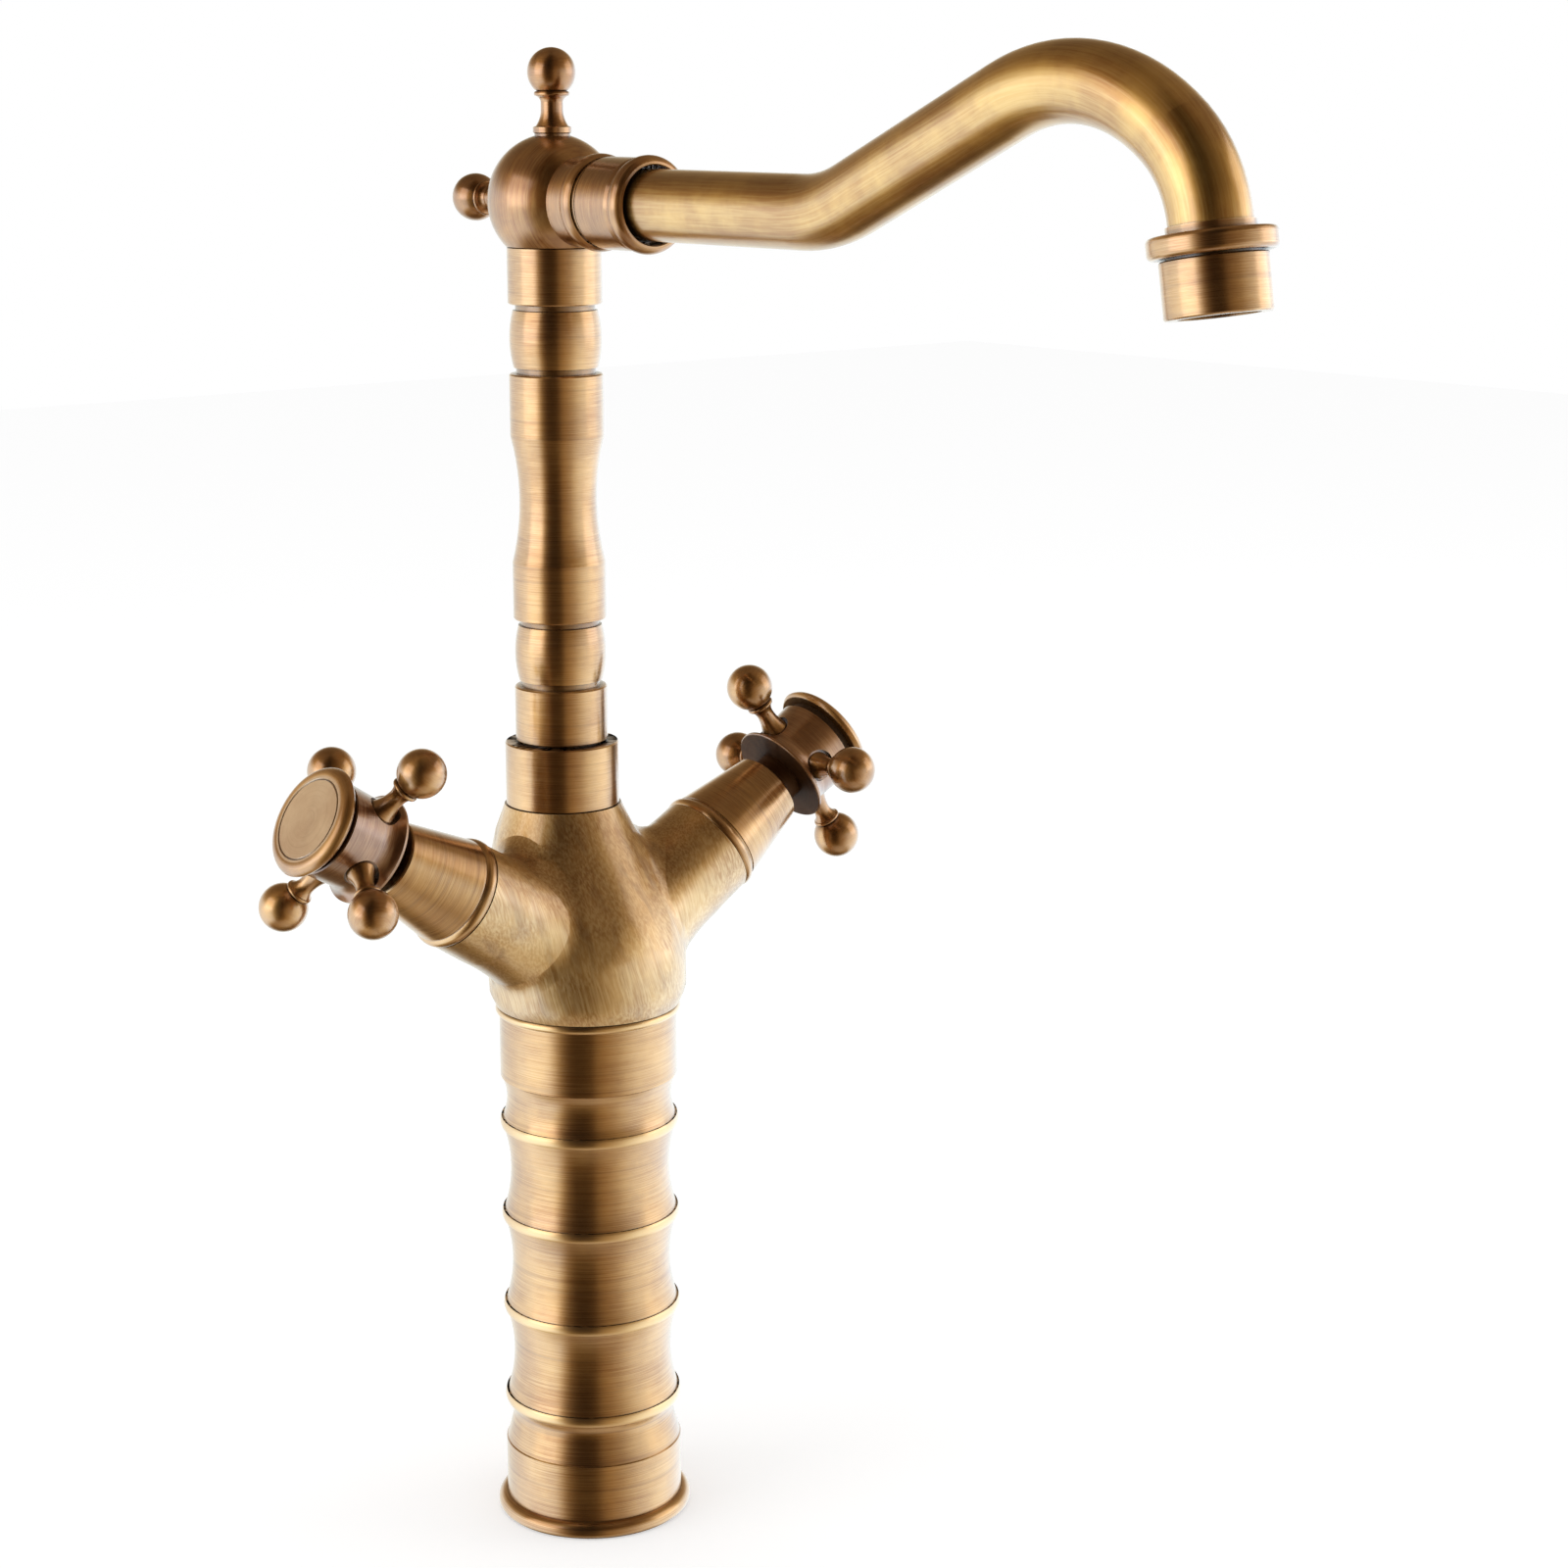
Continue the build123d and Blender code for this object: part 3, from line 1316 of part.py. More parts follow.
def cap(side):
    """Plain round cap pressed into the hub's front, with a fine ring cut round its face."""
    under = hub_end_s + cap_gap
    rim = hub_end_s + cap_rim_at
    face = hub_end_s + cap_t
    groove_in = cap_groove_r - cap_groove_w / 2
    groove_out = cap_groove_r + cap_groove_w / 2
    with BuildPart() as piece:
        with BuildSketch(arm_section(side)):
            with BuildLine():
                Polyline(
                    (0, face),
                    (0, face - cap_wall),
                    (cap_stem_r - cap_wall, face - cap_wall),
                    (cap_stem_r - cap_wall, hub_end_s - cap_stem_length),
                    (cap_stem_r, hub_end_s - cap_stem_length),
                    (cap_stem_r, hub_end_s),
                    (cap_neck_r, hub_end_s),
                    (cap_neck_r, under),
                    (cap_r - 0.9, under),
                )
                ThreePointArc(
                    (cap_r - 0.9, under), (cap_r - 0.25, under + 0.7), (cap_r, rim),
                )
                ThreePointArc(
                    (cap_r, rim),
                    (cap_face_r + (cap_r - cap_face_r) * 0.72, rim + (face - rim) * 0.7),
                    (cap_face_r, face),
                )
                Polyline(
                    (cap_face_r, face),
                    (groove_out, face),
                    (cap_groove_r, face - cap_groove_t),
                    (groove_in, face),
                    (0, face),
                )
            make_face()
        revolve(axis=arm_axis(side))
    return piece


for hand, (side, turn) in handles.items():
    section = arm_section(side)
    axis = arm_axis(side)
    save(bonnet(side), f"{hand}_bonnet")
    save(valve_body(side), f"{hand}_valve_body")
    valve_ring = o_ring(
        section, axis, valve_r - valve_o_ring_wire_r, seat_s + valve_o_ring_at, valve_o_ring_wire_r
    )
    save(valve_ring, f"{hand}_valve_o_ring")
    seal_outline = ring_outline(seat_seal_bore_r, seat_seal_r, seat_s, disc_s)
    save(turned(section, axis, seal_outline), f"{hand}_seat_seal")
    save(disc(side, disc_s, fixed_disc_t, fixed_disc_r, 0, False), f"{hand}_fixed_disc")
    save(disc(side, moving_s, moving_disc_t, moving_disc_r, 90, True), f"{hand}_moving_disc")
    save(spindle(side, 90), f"{hand}_spindle")
    spindle_ring = o_ring(
        section, axis, spindle_r - spindle_o_ring_wire_r, seat_s + spindle_o_ring_at,
        spindle_o_ring_wire_r,
    )
    save(spindle_ring, f"{hand}_spindle_o_ring")
    save(spindle_clip(side), f"{hand}_spindle_clip")
    save(hub(side, turn), f"{hand}_hub")
    for i in range(spoke_count):
        save(spoke(side, turn + i * 360 / spoke_count), f"{hand}_spoke_{i + 1}")
    save(handle_screw(side), f"{hand}_screw")
    save(cap(side), f"{hand}_cap")
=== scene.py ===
import json
import math

import bpy
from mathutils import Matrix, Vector

# Tall basin mixer tap: looks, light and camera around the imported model. Metres, row frame.

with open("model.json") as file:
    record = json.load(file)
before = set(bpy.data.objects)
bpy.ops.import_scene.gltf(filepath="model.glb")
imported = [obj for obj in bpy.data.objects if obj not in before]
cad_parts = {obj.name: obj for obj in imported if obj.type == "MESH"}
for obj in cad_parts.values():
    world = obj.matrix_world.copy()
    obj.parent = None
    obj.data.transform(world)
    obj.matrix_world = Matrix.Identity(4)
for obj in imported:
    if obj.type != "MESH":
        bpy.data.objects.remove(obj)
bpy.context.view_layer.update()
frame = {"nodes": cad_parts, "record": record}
nodes = frame["nodes"]

# Places that the materials need, as in the CAD
ARM_ANGLE = math.radians(31.3)
ARM_ORIGIN = Vector((0, 0, 0.1638))
SPOKE_STATION = 0.0893
SPOKE_TURNS = {"hot": 54.2, "cold": 84.2}
SPOKES = 4
BONNET_END_FACE = 0.0771
HUB_REAR_FACE = 0.0832
CAP_REAR_FACE = 0.1016
CAP_FACE_R = 0.0122
COLUMN_BEADS = (0.0346, 0.0622, 0.0898, 0.1174, 0.1507)
BEAD_HALF = 0.0011
BEAD_FADE = 0.0017
RISER = Vector((0, 0.0104, 0))
ELBOW = Vector((0, 0.0104, 0.3740))
OUTLET = Vector((0, -0.22662, 0.37564))
OUTLET_AXIS = Vector((0, -0.16505, -0.98629))
UP = Vector((0, 0, 1))

# The photograph's camera, and the directions towards it and to its right
VIEW_TURN = math.radians(40.2)
VIEW_TILT = math.radians(12.67)
CAMERA_PLACE = (-0.5027, -0.6808, 0.4044)
CAMERA_LENS = 71.39
FRONT = Vector((-math.sin(VIEW_TURN), -math.cos(VIEW_TURN), 0))
RIGHT = Vector((math.cos(VIEW_TURN), -math.sin(VIEW_TURN), 0))

# Light
GLOSSY_STRENGTH = 1.75
EVEN_STRENGTH = 0.7
FLOOR_GLOW = 0.41

scene = bpy.context.scene
scene.view_settings.view_transform = "Standard"


class Nodes:
    """Short calls for building one node tree."""

    def __init__(self, tree):
        self.tree = tree
        tree.nodes.clear()

    def new(self, kind, **settings):
        node = self.tree.nodes.new(kind)
        for key, value in settings.items():
            setattr(node, key, value)
        return node

    def link(self, value, socket):
        if isinstance(value, bpy.types.NodeSocket):
            self.tree.links.new(value, socket)
        else:
            socket.default_value = value

    def math(self, operation, a, b=0.0, c=0.0, clamp=False):
        node = self.new("ShaderNodeMath", operation=operation, use_clamp=clamp)
        for value, socket in zip((a, b, c), node.inputs):
            self.link(value, socket)
        return node.outputs[0]

    def vec(self, operation, a, b=(0, 0, 0), scale=None):
        node = self.new("ShaderNodeVectorMath", operation=operation)
        self.link(a, node.inputs[0])
        self.link(b, node.inputs[1])
        if scale is not None:
            self.link(scale, node.inputs["Scale"])
        return node.outputs["Value"] if operation in ("DOT_PRODUCT", "LENGTH") else node.outputs["Vector"]

    def noise(self, vector, scale, detail=2.0, rough=0.5):
        node = self.new("ShaderNodeTexNoise")
        self.link(vector, node.inputs["Vector"])
        node.inputs["Scale"].default_value = scale
        node.inputs["Detail"].default_value = detail
        node.inputs["Roughness"].default_value = rough
        return node.outputs["Fac"]

    def spread(self, value, low, high, to_low=0.0, to_high=1.0):
        node = self.new("ShaderNodeMapRange", interpolation_type="SMOOTHSTEP")
        self.link(value, node.inputs["Value"])
        for name, number in (("From Min", low), ("From Max", high), ("To Min", to_low), ("To Max", to_high)):
            node.inputs[name].default_value = number
        return node.outputs["Result"]

    def mix(self, factor, a, b, blend="MIX"):
        node = self.new("ShaderNodeMix", data_type="RGBA", blend_type=blend, clamp_factor=True)
        self.link(factor, node.inputs["Factor"])
        self.link(a, node.inputs["A"])
        self.link(b, node.inputs["B"])
        return node.outputs["Result"]

    def ramp(self, value, stops):
        node = self.new("ShaderNodeValToRGB")
        self.link(value, node.inputs["Fac"])
        marks = node.color_ramp.elements
        while len(marks) > 1:
            marks.remove(marks[-1])
        marks[0].position = stops[0][0]
        marks[0].color = colour(stops[0][1])
        for position, tone in stops[1:]:
            marks.new(position).color = colour(tone)
        return node.outputs["Color"]


def colour(tone):
    if isinstance(tone, (int, float)):
        return (tone, tone, tone, 1)
    return (*tone, 1)


def srgb(r, g, b):
    """A colour as it is seen, 0 to 255, to the shader's linear numbers."""
    return tuple(
        v / 12.92 if v <= 0.04045 else ((v + 0.055) / 1.055) ** 2.4 for v in (r / 255, g / 255, b / 255)
    )


# Antique brass, from the dark patina and painted shade in the creases to the worn edges and the worn beads with
# their painted highlight
CREASE_PATINA_AND_SHADE = srgb(56, 28, 10)
BROWN = srgb(160, 106, 48)
BRASS = srgb(194, 141, 74)
WORN_AND_GLINT = srgb(232, 190, 128)
DIM = srgb(132, 84, 38)

# How far each layer covers the brass, and how softly the painted shade between parts or a tone begins
CREASE_PATINA_AND_SHADE_COVER = 0.75
PAINTED_SHADE_COVER = 0.78
BEAD_WEAR_AND_GLINT_COVER = 0.75
EDGE_COVER = 0.65
EDGE_R = 0.0005
BLUR = 0.0002

# Patina, brass and worn brass of the pieces: the lacquer took them a little differently
COMMON = (BROWN, BRASS, WORN_AND_GLINT)
GOLDEN = (srgb(170, 116, 44), srgb(208, 158, 76), srgb(236, 200, 126))
RUSSET = (srgb(138, 84, 34), srgb(184, 126, 60), srgb(226, 178, 110))
DUSKY = (srgb(122, 76, 44), srgb(172, 122, 80), srgb(222, 180, 134))
MATT = (srgb(196, 156, 118), srgb(222, 188, 150), srgb(240, 212, 174))
BODY = (srgb(172, 122, 62), srgb(212, 166, 100), srgb(246, 214, 158))


def brass(name, axis_point, axis, fine=9000.0, around=1.6, lines=0.5, rough=0.30, stretch=0.75,
          tones=COMMON, crease_reach=0.0025, face=None, wear_and_glint_at=(), shade_before=None, shade_after=None):
    """Antique brass, brushed round an axis.

    face is a radius and the tones inside it. The raised beads at the listed stations are painted worn and
    lighter, a painted highlight. Painted shade darkens the metal before one station and after another, where it
    meets the next part. Stations are distances along the axis from its point.
    """
    material = bpy.data.materials.new(name)
    material.use_nodes = True
    n = Nodes(material.node_tree)
    a = Vector(axis).normalized()
    place = n.new("ShaderNodeTexCoord").outputs["Object"]
    normal = n.new("ShaderNodeNewGeometry").outputs["Normal"]
    local = n.vec("SUBTRACT", place, tuple(axis_point))
    s = n.vec("DOT_PRODUCT", local, tuple(a))
    radial = n.vec("SUBTRACT", local, n.vec("SCALE", tuple(a), scale=s))
    rho = n.vec("LENGTH", radial)
    unit = n.vec("NORMALIZE", radial)
    turns = n.vec("SCALE", unit, scale=around)
    step = n.math("MULTIPLY", n.math("ADD", s, rho), fine)
    grain_place = n.vec("ADD", turns, n.vec("SCALE", tuple(a), scale=step))
    tones = [colour(tone) for tone in tones]
    if face:
        outside = n.spread(rho, face[0] - BLUR, face[0] + BLUR)
        tones = [n.mix(outside, colour(inner_tone), tone) for inner_tone, tone in zip(face[1], tones)]
    # the raised beads are painted in the light tone: worn brass and a painted highlight
    wear_and_glint = 0.0
    for station in wear_and_glint_at:
        apart = n.math("ABSOLUTE", n.math("SUBTRACT", s, station))
        wear_and_glint = n.math("MAXIMUM", wear_and_glint, n.spread(apart, BEAD_FADE, BEAD_HALF))
    # painted shade: the metal darkens before one station and after another, where it meets the next part
    painted_shade = 0.0
    if shade_before is not None:
        painted_shade = n.math("MAXIMUM", painted_shade, n.spread(s, shade_before, shade_before - BLUR))
    if shade_after is not None:
        painted_shade = n.math("MAXIMUM", painted_shade, n.spread(s, shade_after, shade_after + BLUR))
    return finish_brass(n, material, place, grain_place, world_vector(n, a), normal, lines, rough, stretch,
                        tones, crease_reach, project=True, wear_and_glint=wear_and_glint, painted_shade=painted_shade)


def world_vector(n, vector):
    """A direction of the piece, as it stands when its body has moved."""
    node = n.new("ShaderNodeVectorTransform", vector_type="VECTOR", convert_from="OBJECT", convert_to="WORLD")
    node.inputs[0].default_value = tuple(vector)
    return node.outputs[0]


def finish_brass(n, material, place, grain_place, direction, normal, lines, rough, stretch, tones, crease_reach,
                 project, wear_and_glint=0.0, painted_shade=0.0):
    """Tone, wear, roughness and shader shared by all antique brass.

    project lays the tangent along direction, else it runs across it. The two masks after it paint the worn
    beads with a painted highlight and the painted shade where the parts meet.
    """
    dark, middle, light = tones
    grain = n.noise(grain_place, 1.0, 3.0, 0.6)
    bands = n.noise(grain_place, 0.13, 2.0, 0.5)
    cloud = n.noise(place, 55.0, 4.0, 0.6)
    speck = n.noise(place, 900.0, 2.0, 0.5)

    tone = n.mix(n.spread(cloud, 0.32, 0.7), dark, middle)
    tone = n.mix(n.math("MULTIPLY", n.spread(grain, 0.35, 0.68), 0.55 * lines), tone, light)
    tone = n.mix(n.math("MULTIPLY", n.spread(bands, 0.52, 0.75), 0.5 * lines), tone, colour(DIM))

    # patina and painted shade in the creases, worn beads with a painted highlight, painted shade where the
    # parts meet, wear on edges
    hollow = n.new("ShaderNodeAmbientOcclusion", samples=8)
    hollow.inputs["Distance"].default_value = crease_reach
    crease_patina_and_shade = n.spread(hollow.outputs["AO"], 0.35, 0.9, 1.0, 0.0)
    # worn beads, painted lighter as a highlight too
    tone = n.mix(n.math("MULTIPLY", wear_and_glint, BEAD_WEAR_AND_GLINT_COVER), tone, light)
    # the creases get dark patina and painted shade, and the ends where the parts meet get painted shade
    covered = n.math(
        "MAXIMUM", n.math("MULTIPLY", crease_patina_and_shade, CREASE_PATINA_AND_SHADE_COVER), n.math("MULTIPLY", painted_shade, PAINTED_SHADE_COVER)
    )
    tone = n.mix(covered, tone, colour(CREASE_PATINA_AND_SHADE))
    bevel = n.new("ShaderNodeBevel", samples=6)
    bevel.inputs["Radius"].default_value = EDGE_R
    bend = n.vec("DOT_PRODUCT", bevel.outputs["Normal"], normal)
    edge = n.math("MULTIPLY", n.spread(bend, 0.985, 0.80), n.spread(hollow.outputs["AO"], 0.8, 0.95))
    tone = n.mix(n.math("MULTIPLY", edge, EDGE_COVER), tone, light)

    roughness = n.math("ADD", n.math("MULTIPLY", grain, 0.10), rough - 0.05)
    roughness = n.math("ADD", roughness, n.math("MULTIPLY", crease_patina_and_shade, 0.25))
    roughness = n.math("ADD", roughness, n.math("MULTIPLY", speck, 0.04))
    roughness = n.math("ADD", roughness, n.math("MULTIPLY", painted_shade, 0.3))

    bump = n.new("ShaderNodeBump")
    bump.inputs["Strength"].default_value = 0.16 * lines
    bump.inputs["Distance"].default_value = 0.00006
    n.link(n.math("ADD", grain, n.math("MULTIPLY", bands, 0.6)), bump.inputs["Height"])

    shader = n.new("ShaderNodeBsdfPrincipled")
    shader.inputs["Metallic"].default_value = 1.0
    shader.inputs["Anisotropic"].default_value = stretch
    # the coat is weaker in the painted shade where the parts meet, so it shines least there
    n.link(n.math("MULTIPLY_ADD", painted_shade, -0.9, 1.0), shader.inputs["Coat Weight"])
    shader.inputs["Coat Roughness"].default_value = 0.20
    shader.inputs["Coat IOR"].default_value = 1.75
    n.link(tone, shader.inputs["Base Color"])
    n.link(roughness, shader.inputs["Roughness"])
    n.link(bump.outputs["Normal"], shader.inputs["Normal"])
    # the highlight spreads across the brush lines
    if project:
        lean = n.vec("DOT_PRODUCT", direction, normal)
        tangent = n.vec("SUBTRACT", direction, n.vec("SCALE", normal, scale=lean))
    else:
        tangent = n.vec("CROSS_PRODUCT", normal, direction)
    n.link(n.vec("NORMALIZE", tangent), shader.inputs["Tangent"])
    output = n.new("ShaderNodeOutputMaterial")
    n.link(shader.outputs["BSDF"], output.inputs["Surface"])
    return material


def stroked_brass(name, stroke, rough=0.38, stretch=0.65):
    """Brass brushed by hand in long strokes along one direction."""
    material = bpy.data.materials.new(name)
    material.use_nodes = True
    n = Nodes(material.node_tree)
    a = Vector(stroke).normalized()
    place = n.new("ShaderNodeTexCoord").outputs["Object"]
    normal = n.new("ShaderNodeNewGeometry").outputs["Normal"]
    wander = n.new("ShaderNodeTexNoise")
    n.link(place, wander.inputs["Vector"])
    wander.inputs["Scale"].default_value = 28.0
    bent = n.vec("ADD", place, n.vec("SCALE", wander.outputs["Color"], scale=0.004))
    s = n.vec("DOT_PRODUCT", bent, tuple(a))
    across = n.vec("SUBTRACT", bent, n.vec("SCALE", tuple(a), scale=s))
    grain_place = n.vec(
        "ADD", n.vec("SCALE", across, scale=1700.0), n.vec("SCALE", tuple(a), scale=n.math("MULTIPLY", s, 60.0))
    )
    return finish_brass(n, material, place, grain_place, world_vector(n, a), normal, 0.9, rough, stretch,
                        [colour(tone) for tone in BODY], 0.0015, project=False)


def plain(name, tone, rough, metallic=0.0, grain=400.0, coat=0.0, depth=0.12):
    """Small inner pieces: moulded, lapped or machined."""
    material = bpy.data.materials.new(name)
    material.use_nodes = True
    n = Nodes(material.node_tree)
    place = n.new("ShaderNodeTexCoord").outputs["Object"]
    fleck = n.noise(place, grain, 4.0, 0.6)
    cloud = n.noise(place, grain / 12, 3.0, 0.5)
    dark = tuple(v * 0.72 for v in tone)
    mottle = n.math("ADD", n.math("MULTIPLY", fleck, 0.5), n.math("MULTIPLY", cloud, 0.5))
    shade = n.mix(n.spread(mottle, 0.3, 0.7), colour(dark), colour(tone))
    shader = n.new("ShaderNodeBsdfPrincipled")
    shader.inputs["Metallic"].default_value = metallic
    shader.inputs["Coat Weight"].default_value = coat
    n.link(shade, shader.inputs["Base Color"])
    n.link(n.math("ADD", n.math("MULTIPLY", fleck, 0.16), rough - 0.08), shader.inputs["Roughness"])
    bump = n.new("ShaderNodeBump")
    bump.inputs["Strength"].default_value = depth
    bump.inputs["Distance"].default_value = 0.00008
    n.link(fleck, bump.inputs["Height"])
    n.link(bump.outputs["Normal"], shader.inputs["Normal"])
    output = n.new("ShaderNodeOutputMaterial")
    n.link(shader.outputs["BSDF"], output.inputs["Surface"])
    return material


def arm_axis(side):
    return Vector((side * math.cos(ARM_ANGLE), 0, math.sin(ARM_ANGLE)))


def paint(node_name, material):
    mesh = nodes[node_name].data
    for i in range(len(mesh.materials)):
        mesh.materials[i] = material
    if not mesh.materials:
        mesh.materials.append(material)


# the column's beads carry worn brass and a painted highlight
column_brass = brass("column_brass", (0, 0, 0), UP, fine=5200.0, around=1.1, lines=0.9, crease_reach=0.0013,
                     wear_and_glint_at=COLUMN_BEADS)
riser_brass = brass("riser_brass", RISER, UP, fine=6500.0, around=1.1, lines=0.8)
for name in ("column", "base_flange"):
    paint(name, column_brass)
for name in ("riser", "riser_collar"):
    paint(name, riser_brass)
paint("mixer_body", stroked_brass("body_brass", (-0.2, 0.17, 1)))
paint("spout_nut", brass("branch_brass", ELBOW, (0, -1, 0), fine=6500.0, lines=0.6, tones=RUSSET,
                         crease_reach=0.002))
paint("elbow", brass("elbow_brass", ELBOW, (0, -1, 0), fine=5200.0, lines=0.6, rough=0.33, stretch=0.5,
                     tones=RUSSET))
paint("finial_top", brass("finial_top_brass", ELBOW, UP, lines=0.35, tones=RUSSET))
paint("finial_rear", brass("finial_rear_brass", ELBOW, (0, 1, 0), lines=0.35, tones=RUSSET))
outlet_brass = brass("outlet_brass", OUTLET, OUTLET_AXIS, fine=6500.0, lines=0.7)
for name in ("outlet_collar", "aerator_housing"):
    paint(name, outlet_brass)


def spout_brass():
    """Brushed along the tube: the strokes follow the curve because they run across the side direction."""
    material = bpy.data.materials.new("spout_brass")
    material.use_nodes = True
    n = Nodes(material.node_tree)
    place = n.new("ShaderNodeTexCoord").outputs["Object"]
    normal = n.new("ShaderNodeNewGeometry").outputs["Normal"]
    side = (1.0, 0.0, 0.0)
    parts = n.new("ShaderNodeSeparateXYZ")
    n.link(place, parts.inputs[0])
    # the angle round the tube, from the normal in the object's own frame
    own = n.new("ShaderNodeVectorTransform", vector_type="NORMAL", convert_from="WORLD", convert_to="OBJECT")
    n.link(normal, own.inputs[0])
    own_parts = n.new("ShaderNodeSeparateXYZ")
    n.link(own.outputs[0], own_parts.inputs[0])
    own_x = own_parts.outputs["X"]
    upward = n.math("SQRT", n.math("SUBTRACT", 1.0, n.math("MULTIPLY", own_x, own_x), clamp=True))
    half = n.math("SIGN", own_parts.outputs["Z"])
    round_angle = n.math("ARCTAN2", own_x, n.math("MULTIPLY", half, upward))
    combine = n.new("ShaderNodeCombineXYZ")
    n.link(n.math("MULTIPLY", round_angle, 16.0), combine.inputs[0])
    n.link(n.math("MULTIPLY", parts.outputs["Y"], 60.0), combine.inputs[1])
    n.link(n.math("MULTIPLY", parts.outputs["Z"], 60.0), combine.inputs[2])
    return finish_brass(n, material, place, combine.outputs[0], world_vector(n, side), normal, 0.5, 0.31, 0.3,
                        [colour(tone) for tone in GOLDEN], 0.0025, project=True)


paint("spout_tube", spout_brass())

for hand, side in (("hot", -1), ("cold", 1)):
    axis = arm_axis(side)
    # painted shade on the bonnet's end under the hub, and on the rear of the hub and of the cap
    arm_brass = brass(hand + "_arm_brass", ARM_ORIGIN, axis, fine=6500.0, lines=0.9,
                      shade_after=BONNET_END_FACE)
    hub_brass = brass(hand + "_hub_brass", ARM_ORIGIN, axis, fine=3500.0, lines=0.5, rough=0.40, stretch=0.3,
                      tones=DUSKY, crease_reach=0.003, shade_before=HUB_REAR_FACE)
    cap_brass = brass(hand + "_cap_brass", ARM_ORIGIN, axis, fine=9000.0, lines=0.35, rough=0.42, stretch=0.2,
                      face=(CAP_FACE_R, MATT), shade_before=CAP_REAR_FACE)
    paint(hand + "_bonnet", arm_brass)
    paint(hand + "_hub", hub_brass)
    paint(hand + "_cap", cap_brass)
    across = Vector((0, 1, 0))
    lift = axis.cross(across)
    for i in range(SPOKES):
        turn = math.radians(SPOKE_TURNS[hand] + i * 360 / SPOKES)
        out = across * math.cos(turn) + lift * math.sin(turn)
        centre = ARM_ORIGIN + axis * SPOKE_STATION
        paint(f"{hand}_spoke_{i + 1}", brass(f"{hand}_spoke_{i + 1}_brass", centre, out, lines=0.3))

raw = plain("machined_brass", srgb(205, 165, 95), 0.32, metallic=1.0, grain=900.0)
rubber = plain("black_rubber", srgb(34, 33, 32), 0.62, grain=700.0)
nylon = plain("natural_nylon", srgb(224, 218, 204), 0.45, grain=500.0)
ceramic = plain("lapped_ceramic", srgb(232, 229, 220), 0.18, grain=300.0, coat=0.5, depth=0.03)
grey_plastic = plain("grey_plastic", srgb(196, 196, 192), 0.4, grain=600.0)
stainless = plain("stainless_steel", srgb(176, 176, 174), 0.3, metallic=1.0, grain=1200.0)
inner = {"raw_brass": raw, "rubber": rubber, "nylon": nylon, "ceramic": ceramic,
         "aerator_plastic": grey_plastic, "stainless": stainless}
for entry in frame["record"]["subparts"]:
    if entry["material_slot"] in inner:
        paint(entry["node"], inner[entry["material_slot"]])

# Camera at the photograph's angle
camera_data = bpy.data.cameras.new("camera")
camera_data.lens = CAMERA_LENS
camera_data.sensor_width = 36.0
camera_data.clip_start = 0.02
camera_data.clip_end = 20.0
camera = bpy.data.objects.new("camera", camera_data)
camera.location = CAMERA_PLACE
camera.rotation_euler = (math.pi / 2 - VIEW_TILT, 0, -VIEW_TURN)
scene.collection.objects.link(camera)
scene.camera = camera


def soft_box(name, azimuth, height, distance, width, tall, power):
    """An area lamp that faces the tap. The azimuth is counted from the camera's side, positive to its right."""
    turn = math.radians(azimuth)
    data = bpy.data.lights.new(name, "AREA")
    data.shape = "RECTANGLE"
    data.size = width
    data.size_y = tall
    data.energy = power
    lamp = bpy.data.objects.new(name, data)
    lamp.location = FRONT * math.cos(turn) * distance + RIGHT * math.sin(turn) * distance + UP * height
    aim = Vector((0, 0, 0.22)) - lamp.location
    lamp.rotation_euler = aim.to_track_quat("-Z", "Y").to_euler()
    scene.collection.objects.link(lamp)


# Studio: white all round for the camera; metal sees pale walls at the sides and the dark end behind the camera
world = bpy.data.worlds.new("studio")
scene.world = world
world.use_nodes = True
w = Nodes(world.node_tree)
direction = w.new("ShaderNodeTexCoord").outputs["Generated"]
azimuth = w.math(
    "ARCTAN2", w.vec("DOT_PRODUCT", direction, tuple(RIGHT)), w.vec("DOT_PRODUCT", direction, tuple(FRONT))
)
turn = w.math("MULTIPLY_ADD", azimuth, 0.5 / math.pi, 0.5)
WALL = (
    (-180, 0.60), (-140, 0.62), (-116, 0.78), (-92, 1.0), (-66, 1.0), (-50, 0.90), (-42, 0.52), (-32, 0.14),
    (-20, 0.035), (-4, 0.03), (8, 0.05), (17, 0.20), (28, 0.28), (42, 0.38), (54, 0.56), (70, 0.78), (96, 0.94),
    (120, 0.95), (145, 0.85), (180, 0.60),
)
wall = w.ramp(turn, [((degrees + 180) / 360, tone) for degrees, tone in WALL])
rise = w.new("ShaderNodeSeparateXYZ")
w.link(direction, rise.inputs[0])
HEIGHT = (
    (-1.0, 1.0), (0.10, 1.0), (0.22, 0.64), (0.36, 0.34), (0.6, 0.18), (1.0, 0.16),
)
level = w.ramp(
    w.math("MULTIPLY_ADD", rise.outputs["Z"], 0.5, 0.5), [((z + 1) / 2, tone) for z, tone in HEIGHT]
)
# the floor is lit in front of the tap and dim behind it
GROUND = (
    (-180, 0.06), (-130, 0.1), (-70, 0.3), (-20, 0.36), (10, 0.40), (70, 0.46), (105, 0.36),
    (140, 0.10), (180, 0.06),
)
ground = w.ramp(turn, [((degrees + 180) / 360, tone) for degrees, tone in GROUND])
room = w.mix(w.spread(rise.outputs["Z"], -0.64, -0.86), w.mix(1.0, wall, level, "MULTIPLY"), ground)
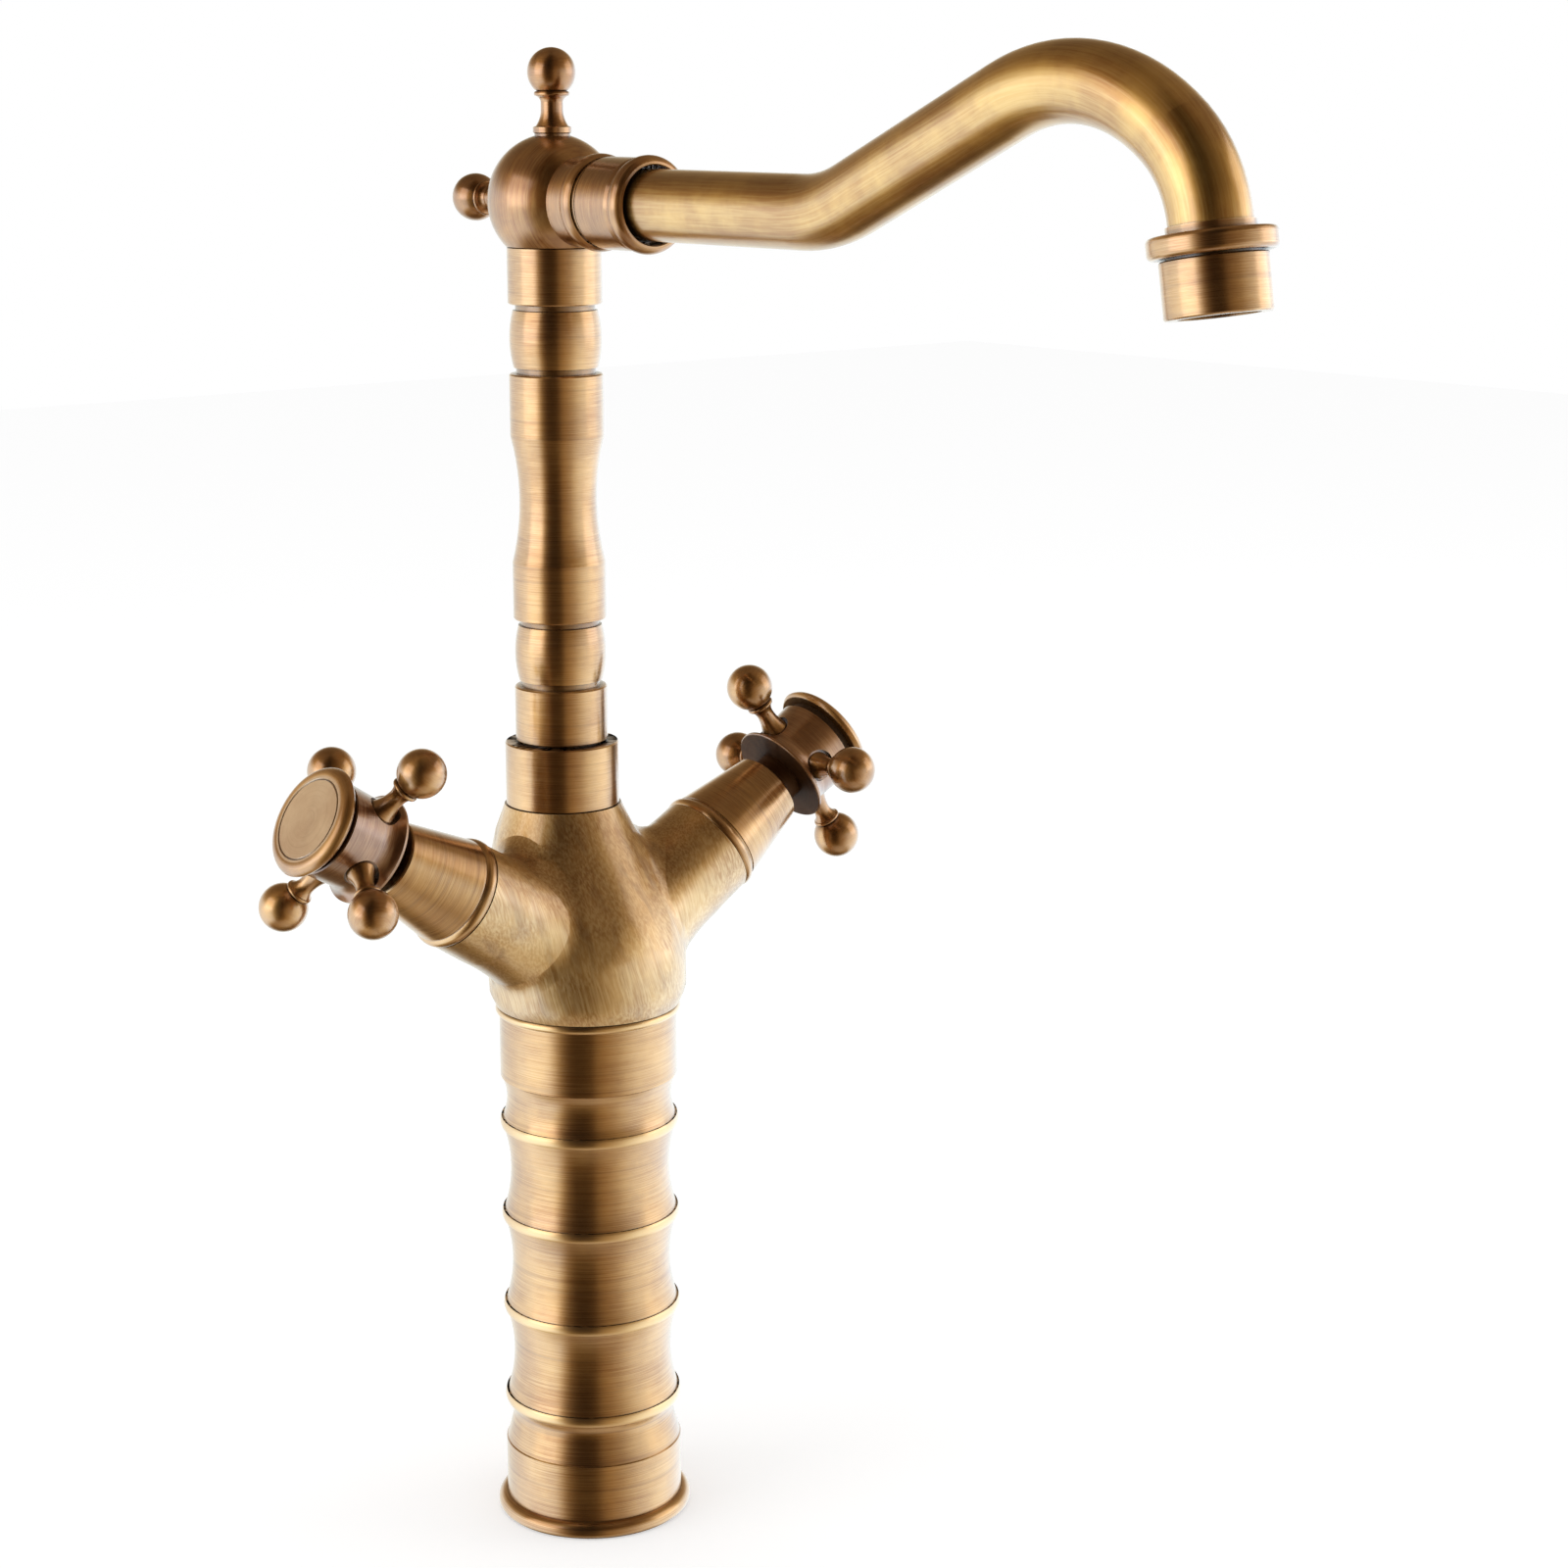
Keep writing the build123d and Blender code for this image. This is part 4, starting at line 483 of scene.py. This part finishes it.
# dim parts of the room are warm and the bright walls are a clean, slightly cool white
TONES = (
    (0.0, (0.0, 0.0, 0.0)), (0.05, (0.048, 0.028, 0.012)), (0.26, (0.26, 0.192, 0.105)),
    (0.57, (0.57, 0.59, 0.55)), (1.0, (0.90, 1.08, 1.28)),
)
glossy = w.new("ShaderNodeBackground")
w.link(w.ramp(room, TONES), glossy.inputs["Color"])
glossy.inputs["Strength"].default_value = GLOSSY_STRENGTH
even = w.new("ShaderNodeBackground")
even.inputs["Color"].default_value = (1, 1, 1, 1)
even.inputs["Strength"].default_value = EVEN_STRENGTH
white = w.new("ShaderNodeBackground")
white.inputs["Color"].default_value = (1, 1, 1, 1)
path = w.new("ShaderNodeLightPath")
inside = w.new("ShaderNodeMixShader")
w.link(path.outputs["Is Glossy Ray"], inside.inputs[0])
w.link(even.outputs[0], inside.inputs[1])
w.link(glossy.outputs[0], inside.inputs[2])
seen = w.new("ShaderNodeMixShader")
w.link(path.outputs["Is Camera Ray"], seen.inputs[0])
w.link(inside.outputs[0], seen.inputs[1])
w.link(white.outputs[0], seen.inputs[2])
w.link(seen.outputs[0], w.new("ShaderNodeOutputWorld").inputs["Surface"])

soft_box("key", -62, 0.75, 1.6, 1.3, 1.3, 7)
soft_box("fill", 100, 0.8, 1.8, 1.3, 1.3, 5)

# Pale floor that keeps the tap's shadow
bpy.ops.mesh.primitive_plane_add(size=6.0, location=(0, 0, 0))
floor = bpy.context.object
floor.name = "floor"
pale = bpy.data.materials.new("pale_floor")
pale.use_nodes = True
p = Nodes(pale.node_tree)
card = p.new("ShaderNodeBsdfDiffuse")
card.inputs["Color"].default_value = (0.8, 0.8, 0.8, 1)
glow = p.new("ShaderNodeEmission")
glow.inputs["Color"].default_value = (1, 1, 1, 1)
rays = p.new("ShaderNodeLightPath")
p.link(p.math("MULTIPLY", rays.outputs["Is Camera Ray"], FLOOR_GLOW), glow.inputs["Strength"])
total = p.new("ShaderNodeAddShader")
p.link(card.outputs[0], total.inputs[0])
p.link(glow.outputs[0], total.inputs[1])
clear = p.new("ShaderNodeBsdfTransparent")
shown = p.new("ShaderNodeMixShader")
p.link(rays.outputs["Is Glossy Ray"], shown.inputs[0])
p.link(total.outputs[0], shown.inputs[1])
p.link(clear.outputs[0], shown.inputs[2])
p.link(shown.outputs[0], p.new("ShaderNodeOutputMaterial").inputs["Surface"])
floor.data.materials.append(pale)
